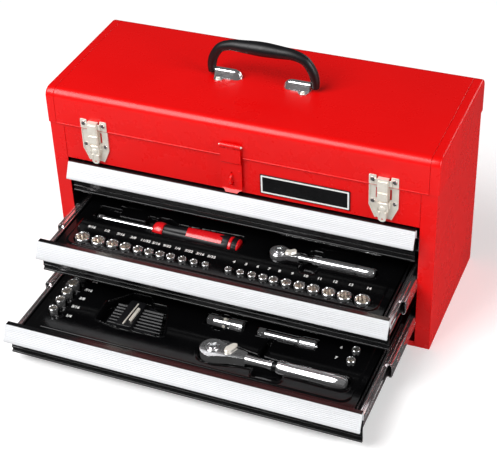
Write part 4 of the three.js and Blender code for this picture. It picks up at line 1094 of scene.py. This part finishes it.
def make_large_ratchet():
    at = LARGE_RATCHET
    head = prism("z", teardrop(at, 16, 44, 6.4), at.z - 6.2, at.z + 6.2)
    head = cut(head, rod("z", 9.5, at.z - 9, at.z + 9, (at.x, at.y, 0), 48),
               rod("z", 4.5, at.z + 2, at.z + 9, (at.x + 20, at.y, 0), 32))
    tool("large_ratchet_head", head, "chrome", "bottom", "large_ratchet_body", bevel=1.6, segments=4)
    neck = [(6.2, 66), (6.0, 74), (5.2, 84), (5.0, 95), (5.6, 102), (5.8, 104.5)]
    tool("large_ratchet_neck", knurled_handle(neck, 0, at), "chrome", "bottom", bevel=0.2)
    gap = [(4.6, 104.5), (4.4, 110.5)]
    tool("large_ratchet_grip_gap", knurled_handle(gap, 0, at), "black_grip", "bottom", bevel=0)
    grip = [(6.2, 110.5, 0), (8.0, 111.5, 0), (8.9, 115, 0), (8.5, 130, 1), (8.3, 148, 1), (8.6, 166, 1),
            (9.2, 180, 1), (9.3, 186, 0), (8.6, 193, 0), (6.8, 197.5, 0), (4.0, 199, 0)]
    tool("large_ratchet_grip", fluted(grip, 8, 0.7, at.y, at.z, 64), "chrome", "bottom", bevel=0)

    ring = [(8.6, 6.4), (8.9, 7.2), (8.3, 7.9), (7.2, 7.9), (7.0, 7.0), (5.8, 7.0), (5.6, 8.4), (5.0, 9.0),
            (4.2, 9.0), (3.9, 8.2), (1.5, 8.0)]
    shift = OFFSETS["bottom"]
    gear = union(
        turned("z", [(9.0, -6.0), (9.0, 6.3)] + ring, (at.x, at.y, at.z), 56),
        box(around(at.x, 4.7), around(at.y, 4.7), (at.z - 16.5, at.z - 5.5)),
    )
    piece("large_ratchet_turning_gear", shifted(gear, *shift), "chrome", "ratchet_gear",
          "large_ratchet_gear", bevel=0.2)
    x, y, z = at.x + 20, at.y, at.z
    paddle = rounded([(x + a, y + b) for a, b in
                      ((-3.4, -3.4), (3.4, -3), (9, 10.5), (7, 13.5), (2.6, 12.4), (-3.4, 3.4))],
                     [2, 4, 2.5, 2.5, 3, 3])
    lever = union(rod("z", 4.0, z + 2.6, z + 7.4, (x, y, 0), 32), prism("z", paddle, z + 7.0, z + 9.4))
    piece("large_ratchet_selector", shifted(lever, *shift), "nickel", "ratchet_lever",
          "large_ratchet_lever", bevel=0.7, segments=3)


# ---------------------------------------------------------------- hex keys


def hexagonal_bar(points, radius):
    """Straight key: a six-sided bar along a path."""
    return tube(points, radius, sides=6, side_on=Vector((0, 0, 1)))


def make_hex_keys():
    keys = []
    for i in range(8):
        radius = 0.9 + 0.2 * i
        y = -47 + i * 5.6
        keys.append(hexagonal_bar([(x, y, 31 + radius) for x in (-126, -88, -51 - 1.6 * i)], radius))
    tool("hex_keys", together(*keys), "black_grip", "bottom", "hex_key_set", bevel=0.1, smooth=20)
    plate = rounded([(-129, -47), (-57, -49), (-66, -3), (-92, 7), (-110, 7), (-129, -10)], 5)
    tool("hex_key_holder", prism("z", plate, 26.2, 30.6), "black_grip", "bottom", bevel=0.8, segments=3)
    clip = rounded([(-112, -48), (-90, -48), (-90, 2), (-112, 2)], 3)
    tool("hex_key_clip", prism("z", clip, 30.4, 38), "black_grip", "bottom", bevel=1.0, segments=3)
    tool("long_loose_key", hexagonal_bar([(-101.4, -46, 39), (-99.4, -4, 39)], 1.0), "nickel", "bottom",
         bevel=0.1)
    tool("short_loose_key", hexagonal_bar([(-94.6, -38, 40), (-93.8, -14, 40)], 2.3), "nickel",
         "bottom", bevel=0.2)


def make_tools():
    make_trays()
    make_numbers()
    make_sockets()
    make_driver()
    make_small_ratchet()
    make_bars()
    make_universal_joint()
    make_large_ratchet()
    make_hex_keys()


# ---------------------------------------------------------------- handle

HANDLE_PIVOT = Vector((0, 0, LID_TOP + 5.5))
HANDLE_HALF = span("handle_grip")[1].x - 5.2
BRACKET_IN, BRACKET_OUT = span("handle_bracket_right")[0].x + 2, span("handle_bracket_right")[1].x
TUNNEL_RADIUS = 5.4


def hood(inset, low):
    """Outline of the bracket's hood in Y and Z: flat leaning sides under a small round crown."""
    top = HANDLE_PIVOT.z + TUNNEL_RADIUS - inset
    foot = 8.2 - inset
    crown = 3.2 - inset / 2
    return rounded([(-foot, low), (-crown, top), (crown, top), (foot, low)], [0, 3.2, 3.2, 0], 6)


def make_bracket(name, side):
    foot = LID_TOP + 0.3
    nose = BRACKET_OUT - 23
    rings = [[(x, y, z) for y, z in hood(0, foot)] for x in (BRACKET_OUT, BRACKET_OUT - 12, nose)]
    for k in range(1, 9):
        t = k / 8 * 0.97
        share = math.sqrt(1 - t ** 2.4)
        x = nose + (BRACKET_IN - nose) * t
        rings.append([(x, y * share, foot + (z - foot) * share) for y, z in hood(0, foot)])
    tunnel = loft(rings)
    bore = prism("x", hood(1.1, foot + 0.9), BRACKET_OUT - 24, BRACKET_OUT + 2)
    flange = prism("z", rounded(
        [(BRACKET_IN - 2, 0), (BRACKET_IN + 12, -9.2), (BRACKET_OUT, -9.2), (BRACKET_OUT, 9.2),
         (BRACKET_IN + 12, 9.2)], [3, 8, 1.5, 1.5, 8]), foot, foot + 1)
    rivet_x = BRACKET_OUT - 7
    tab = rod("z", 6.5, foot, foot + 1, (rivet_x, -9.6, 0), 40)
    shape = cut(union(tunnel, flange, tab), bore)
    piece(f"handle_bracket_{name}_pressing", on_side(side, shape), "chrome", "lid",
          f"handle_bracket_{name}", bevel=0.3, segments=3, smooth=40)
    head = turned("z", [(3.1, foot + 1), (3.1, foot + 1.5), (2.6, foot + 2.1), (1.4, foot + 2.5)],
                  (rivet_x, -12.2, 0), 32)
    head = cut(head, box(around(rivet_x, 4), around(-12.2, 0.4), (foot + 1.7, foot + 3)))
    piece(f"handle_rivet_{name}", on_side(side, head), "nickel", "lid", bevel=0.1)


def make_handle():
    z = HANDLE_PIVOT.z
    side = [((HANDLE_HALF, z - 1), 5.1), ((HANDLE_HALF, z + 3), 5.6), ((HANDLE_HALF - 0.4, z + 11), 6.1),
            ((HANDLE_HALF - 3.6, z + 22), 6.2), ((HANDLE_HALF - 13, z + 35), 6.3),
            ((HANDLE_HALF - 28, z + 40.6), 7.0), ((24, z + 41.4), 8.4)]
    route = side + [((0, z + 41.7), 9.5)] + [((-x, h), r) for (x, h), r in reversed(side)]
    fine = spline([(x, r, h) for (x, h), r in route], 8)
    path = [(p.x, 0, p.z) for p in fine]
    shape = tube(path, [p.y for p in fine], sides=32, flat=0.98)
    piece("handle_bail", shape, "black_grip", "handle", "handle_grip", bevel=0.9, segments=4, smooth=45)
    pins = [on_side(s, rod("x", 3.4, BRACKET_OUT - 23, HANDLE_HALF - 5, (0, 0, z), 32)) for _, s in SIDES]
    piece("handle_pivot_pins", together(*pins), "zinc", "handle", bevel=0.4)
    for name, s in SIDES:
        make_bracket(name, s)


# ---------------------------------------------------------------- draw latches


def dome(axis_y, x, z, radius, height, sides=32):
    """Round rivet head on a plate that faces -Y."""
    profile = [(radius, 0), (radius, 0.3 * height), (radius * 0.86, 0.68 * height),
               (radius * 0.55, 0.93 * height), (radius * 0.2, height)]
    return turned("y", [(r, axis_y - h) for r, h in profile], (x, 0, z), sides)


LATCH_PIVOT_Z = LID_LINE - 23.5
LATCH_PIVOT_Y = FRONT_Y - PLATE_STANDOFF - 2.9
LINK_Z = LATCH_PIVOT_Z - 8.5
LEVER_HALF = 5.2
LOOP_HALF = 6.8
KEEPER_TOP = LID_LINE + 11.5
KEEPER_BRIDGE_Y = LID_FRONT_Y - PLATE_STANDOFF - 2.6


def latch_base_plate(half, foot):
    """Tapering plate with a long hole on each side, folded edges and two ears that hold the lever's pin."""
    top = LID_LINE - 0.6
    shoulder = LATCH_PIVOT_Z - 5.5
    narrow = half * 0.58
    face = FRONT_Y - PLATE_STANDOFF
    outline = rounded([(-narrow, foot), (narrow, foot), (half, shoulder), (half, top), (-half, top),
                       (-half, shoulder)], [5, 5, 4, 1, 1, 4])
    holes = [box(around(side * 8.7, 1.3), (face - 1, face + 2), (LATCH_PIVOT_Z + 5, top - 2.5))
             for side in (-1, 1)]
    plate = cut(prism("y", outline, face, face + PLATE), *holes)
    flange = [(narrow - 1.6, foot), (narrow, foot), (half, shoulder), (half, top), (half - 1.3, top),
              (half - 1.3, LATCH_PIVOT_Z - 5)]
    ribs = [prism("y", [(side * a, b) for a, b in flange][::side], face - 0.9, face + 0.5)
            for side in (-1, 1)]
    ears = [box(sorted((side * 7.2, side * 8.4)), (LATCH_PIVOT_Y - 2, face + 1), around(LATCH_PIVOT_Z, 4))
            for side in (-1, 1)]
    pin = rod("x", 1.2, -7.8, 7.8, (0, LATCH_PIVOT_Y, LATCH_PIVOT_Z), 24)
    return union(plate, *ribs, *ears, pin)


def latch_lever(tip):
    """Pressed lever with a round finger end, a raised rib down each edge and a domed rivet."""
    top = LATCH_PIVOT_Z + 1
    half = LEVER_HALF
    front = (LATCH_PIVOT_Y - 2.4, LATCH_PIVOT_Y - 1.2)
    raised = (front[0] - 0.9, front[1])
    tab = ([(-half, top), (-half, tip + 9)] + arc((0, tip + half), half, 190, 350, 12)
           + [(half, tip + 9), (half, top)])
    rib_top = LATCH_PIVOT_Z - 11
    lever = union(
        prism("y", tab, *front),
        rod("x", 2.4, -half, half, (0, LATCH_PIVOT_Y, LATCH_PIVOT_Z), 32),
        prism("y", [(-half, rib_top), (-2.6, rib_top), (-4.2, tip + 6), (-half, tip + 8)], *raised),
        prism("y", [(2.2, rib_top), (half, rib_top), (half, tip + 8), (4.0, tip + 6)], *raised),
        *[box(sorted((side * (half - PLATE), side * half)), (front[0], LATCH_PIVOT_Y + 1.2),
              around(LINK_Z, 4)) for side in (-1, 1)],
        rod("x", 1.0, -6.6, 6.6, (0, LATCH_PIVOT_Y, LINK_Z), 20),
        dome(front[0] + 0.3, 0, LATCH_PIVOT_Z - 6.5, 4.1, 1.5),
    )
    return cut(lever, rod("x", 1.4, -6, 6, (0, LATCH_PIVOT_Y, LATCH_PIVOT_Z), 24),
               rod("y", 1.3, front[0] - 2, front[1] + 1, (0, 0, tip + 3.6), 20))


def latch_loop():
    """Draw loop: a stepped panel over the keeper on two arms from the lever's link pin."""
    front = (KEEPER_BRIDGE_Y - 2, KEEPER_BRIDGE_Y - 0.8)
    foot = LATCH_PIVOT_Z + 5
    arm_in = LOOP_HALF - 1.2
    panel = union(
        box((-LOOP_HALF, LOOP_HALF), front, (foot, KEEPER_TOP + 2)),
        box((-arm_in, arm_in), (front[0] - 1.2, front[1]), (LID_LINE - 3.6, KEEPER_TOP - 1.5)),
        box((-arm_in, arm_in), (front[0] - 1.5, front[1]), (foot + 1.4, LID_LINE - 6.4)),
        box((-LOOP_HALF, LOOP_HALF), (front[0], LID_FRONT_Y - 0.6), (KEEPER_TOP + 0.8, KEEPER_TOP + 2)),
    )
    arms = []
    for side in (-1, 1):
        across = sorted((side * arm_in, side * LOOP_HALF))
        arms.append(union(rod("x", 2.2, *across, (0, LATCH_PIVOT_Y, LINK_Z), 28),
                          box(across, (front[0], LATCH_PIVOT_Y), around(LINK_Z, 1.5)),
                          box(across, front, (LINK_Z - 1.5, foot + 1))))
    return cut(union(panel, *arms), rod("x", 1.2, -8, 8, (0, LATCH_PIVOT_Y, LINK_Z), 24))


def latch_keeper(half):
    """Catch on the lid: two ears and a bridge that stands off them."""
    plate = LID_FRONT_Y - PLATE_STANDOFF
    inner = 9.2
    height = (LID_LINE + 3, KEEPER_TOP)
    parts = []
    for side in (-1, 1):
        corners = ((inner, 1), (half, 1), (half, 15), (inner, 15))
        ear = rounded([(side * x, LID_LINE + z) for x, z in corners], 1.2)
        parts.append(prism("y", ear, plate, plate + PLATE))
        across = sorted((side * inner, side * (inner + 1)))
        parts.append(box(across, (KEEPER_BRIDGE_Y, plate + PLATE), height))
    parts.append(box(around(0, inner + 1), (KEEPER_BRIDGE_Y, KEEPER_BRIDGE_Y + PLATE), height))
    return union(*parts)


def make_latch(name):
    low, high = span(f"latch_base_{name}")
    middle = (low.x + high.x) / 2
    half = (high.x - low.x) / 2
    rivet_x = half - 5

    def part(title, shape, body, slot="nickel", **looks):
        piece(title, shifted(shape, middle), slot, body, **looks)

    def rivets(face, z, radius, height):
        return together(*[dome(face, side * rivet_x, z, radius, height) for side in (-1, 1)])

    base, lever = f"latch_base_{name}", f"latch_lever_{name}"
    part(f"{base}_plate", latch_base_plate(half, low.z), "chest", stands_for=base, bevel=0.25)
    part(f"{base}_rivets", rivets(FRONT_Y - PLATE_STANDOFF, LATCH_PIVOT_Z + 0.5, 3.0, 1.9), "chest", "zinc",
         bevel=0)
    part(f"{lever}_pressing", latch_lever(span(lever)[0].z), f"lever_{name}", stands_for=lever, bevel=0.25)
    part(f"latch_loop_{name}_pressing", latch_loop(), f"loop_{name}", stands_for=f"latch_loop_{name}")
    keeper = f"latch_keeper_{name}"
    part(f"{keeper}_pressing", latch_keeper(half), "lid", stands_for=keeper, bevel=0.25)
    part(f"{keeper}_rivets", rivets(LID_FRONT_Y - PLATE_STANDOFF, LID_LINE + 9, 3.2, 2.1), "lid", "zinc",
         bevel=0)


# ---------------------------------------------------------------- hasp and badge

HASP_X = -2.5
HASP_HALF = 13.5


def hasp_slot(z):
    """Keyhole outline of the strap's slot, narrow at its top."""
    corners = ((-0.9, 10.3), (-2.6, -3), (-2.6, -10.3), (2.6, -10.3), (2.6, -3), (0.9, 10.3))
    return rounded([(HASP_X + a, z + b) for a, b in corners], [0.8, 6, 2.4, 2.4, 6, 0.8])


def make_hasp():
    barrel_z = LID_LINE + 18
    barrel_radius = 3
    slot_z = LID_LINE - 31
    leaf_y = LID_FRONT_Y - PLATE_STANDOFF
    pin_y = leaf_y + PLATE - barrel_radius
    eye = HASP_HALF * 0.4
    left, right = HASP_X - HASP_HALF, HASP_X + HASP_HALF

    def barrel(start, end, radius=barrel_radius, sides=40):
        return rod("x", radius, start, end, (0, pin_y, barrel_z), sides)

    leaf = box((left, right), (leaf_y, leaf_y + PLATE), (LID_LINE + 5, barrel_z))
    gap = box(around(HASP_X, eye + 0.3), (leaf_y - 2, leaf_y + 3), (barrel_z - 3.6, barrel_z + 1))
    leaf = union(cut(leaf, gap), barrel(left, HASP_X - eye - 0.3), barrel(HASP_X + eye + 0.3, right))
    piece("hasp_lid_leaf", leaf, "red_powder_coat", "lid", "hasp_leaf", segments=3)
    pin = turned("x", [(1.0, left - 1.6), (1.5, left - 1.1), (1.5, right + 1.3), (1.1, right + 2)],
                 (0, pin_y, barrel_z), 28)
    piece("hasp_pin", pin, "nickel", "lid", bevel=0.2)

    upper = pin_y - SHEET
    lower = upper + 2
    step = LID_LINE - 6
    foot = OPENING_TOP + 2
    edge = barrel_z - 3.6
    front = rounded([(upper, edge), (upper, step), (lower, step - 2.4), (lower, foot + 4),
                     (lower - 3.6, foot)], [0, 1.6, 1.6, 3, 0], 6)
    back = rounded([(lower - 2.6, foot - 0.2), (lower + SHEET, foot + 3.4), (lower + SHEET, step - 1.8),
                    (upper + SHEET, step + 0.4), (upper + SHEET, edge)], [0, 3, 1.6, 1.6, 0], 6)
    strap = union(
        prism("x", front + back, left, right),
        box(around(HASP_X, eye), (upper, upper + SHEET), (edge - 1, barrel_z)),
        barrel(HASP_X - eye, HASP_X + eye),
    )
    through = around(upper, 8)
    strap = cut(strap, barrel(left - 1, right + 1, 1.6, 24), prism("y", hasp_slot(slot_z), *through))
    corner = ((8.2, -3), (16, -3), (16, 4.2), (10.5, 2.4), (8.2, 0.6))
    trim = [prism("y", [(HASP_X + side * x, foot + z) for x, z in corner][::side], *through)
            for side in (-1, 1)]
    piece("hasp_hinged_strap", cut(strap, *trim), "red_powder_coat", "hasp", "hasp_strap", segments=3,
          smooth=50)
    button = dome(lower, right - 3.2, LID_LINE - 19, 1.9, 1.1)
    piece("hasp_button", button, "red_powder_coat", "hasp", bevel=0)

    plate = FRONT_Y - PLATE_STANDOFF
    bend = 6.6
    ring = [(HASP_X, plate - 1.5 - bend * math.sin(t), slot_z + bend * math.cos(t))
            for t in np.radians(range(0, 181, 10))]
    ring = [(HASP_X, plate + 0.5, slot_z + bend)] + ring + [(HASP_X, plate + 0.5, slot_z - bend)]
    foot_plate = rectangle(around(HASP_X, 7), around(slot_z, 13), 2.5)
    staple = union(tube(ring, 1.5, sides=20, side_on=Vector((1, 0, 0))),
                   prism("y", foot_plate, plate, plate + PLATE))
    piece("hasp_staple_loop", staple, "red_powder_coat", "chest", "hasp_staple", bevel=0.2)


def make_badge():
    low, high = span("badge_plate")
    front = low.y

    def inset(edge, radius, steps):
        return rectangle((low.x + edge, high.x - edge), (low.z + edge, high.z - edge), radius, steps)

    piece("badge_blank", prism("y", inset(0, 1.2, 5), front, high.y), "black_paint", "chest", "badge_plate",
          bevel=0.25)
    border = cut(prism("y", inset(1.2, 0.6, 3), front - 0.25, front + 0.3),
                 prism("y", inset(3.2, 0.4, 3), front - 1, front + 1))
    piece("badge_border", border, "white_print", "chest", bevel=0.05, segments=1)


# ---------------------------------------------------------------- slides


def channel(web, tip, low, high):
    """Rolled slide channel in X and Z: a web, two flanges with a ball race and a hem on each."""
    way = 1 if tip > web else -1
    wide = abs(tip - web)
    upper = [(0, -3.4), (0.5, -1.2), (1.3, -0.4), (3.2, 0), (wide * 0.44, 0), (wide * 0.52, -0.8),
             (wide * 0.62, -0.8), (wide * 0.7, 0), (wide - 0.5, 0), (wide, -0.5), (wide, -2.6),
             (wide - 1.1, -2.6), (wide - 1.1, -1.2), (wide * 0.76, -1.2), (wide * 0.64, -1.9),
             (wide * 0.5, -1.9), (wide * 0.4, -1.2), (3.4, -1.2), (2.0, -1.6), (1.3, -2.4), (1.2, -3.6)]
    half = (high - low) / 2
    middle = (high + low) / 2
    top = [(web + way * u, middle + half + v) for u, v in upper]
    bottom = [(web + way * u, middle - half - v) for u, v in reversed(upper)]
    return top + bottom


def rail(node, way):
    """Formed channel of one slide member, open towards way."""
    low, high = span(node)
    web, tip = (low.x, high.x) if way > 0 else (high.x, low.x)
    piece(f"{node}_formed", prism("y", channel(web, tip, low.z, high.z), low.y, high.y), "zinc",
          NODES[node]["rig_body"], node, bevel=0.15, smooth=40)


def make_bumper(node, side):
    """Rubber stop in the front of a drawer's rail, and the rivets along it."""
    low, high = span(node)
    body = NODES[node]["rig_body"]
    z = (low.z + high.z) / 2
    web = min(abs(low.x), abs(high.x)) + SHEET
    stop = rectangle((low.y + 0.4, low.y + 9), around(z, 4.6), 1.5)
    piece(f"{node}_bumper", on_side(side, prism("x", stop, web + 0.1, web + 4)), "black_grip", body,
          bevel=0.5)
    profile = [(2.6, web - 0.2), (2.6, web + 0.5), (1.8, web + 1.1), (0.8, web + 1.3)]
    heads = [turned("x", profile, (0, low.y + along, z), 24) for along in (24, 88, 160)]
    piece(f"{node}_rivets", on_side(side, together(*heads)), "zinc", body, bevel=0)


def make_pressings(node, side):
    """Raised slot rim, end stop and ball dimples on a middle rail's outer face."""
    low, high = span(node)
    z = (low.z + high.z) / 2
    face = max(abs(low.x), abs(high.x))
    depth = (face - 0.3, face + 0.55)
    slot_at = low.y + 26
    rim = rectangle(around(slot_at, 7), around(z, 3.4), 3.2, 6)
    inside = rectangle(around(slot_at, 5.6), around(z, 2), 1.9, 6)
    pressed = [cut(prism("x", rim, *depth), prism("x", inside, face - 1, face + 1)),
               box(depth, (low.y + 0.8, low.y + 2.4), around(z, 7))]
    pressed += [rod("x", 1.7, face - 0.3, face + 0.5, (0, low.y + along, z), 20) for along in (9, 46, 96)]
    piece(f"{node}_pressings", on_side(side, together(*pressed)), "zinc", NODES[node]["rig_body"],
          bevel=0.15)


def make_slides():
    for drawer in DRAWER_NAMES:
        for name, side in SIDES:
            outer = f"{drawer}_middle_rail_{name}"
            inner = f"{drawer}_drawer_rail_{name}"
            rail(outer, -side)
            rail(inner, side)
            make_bumper(inner, side)
            make_pressings(outer, side)


for drawer_name in DRAWER_NAMES:
    make_drawer(drawer_name)
    make_pull(drawer_name)
make_lid()
make_case()
make_slides()
make_handle()
for side_name, _ in SIDES:
    make_latch(side_name)
make_hasp()
make_badge()
make_tools()
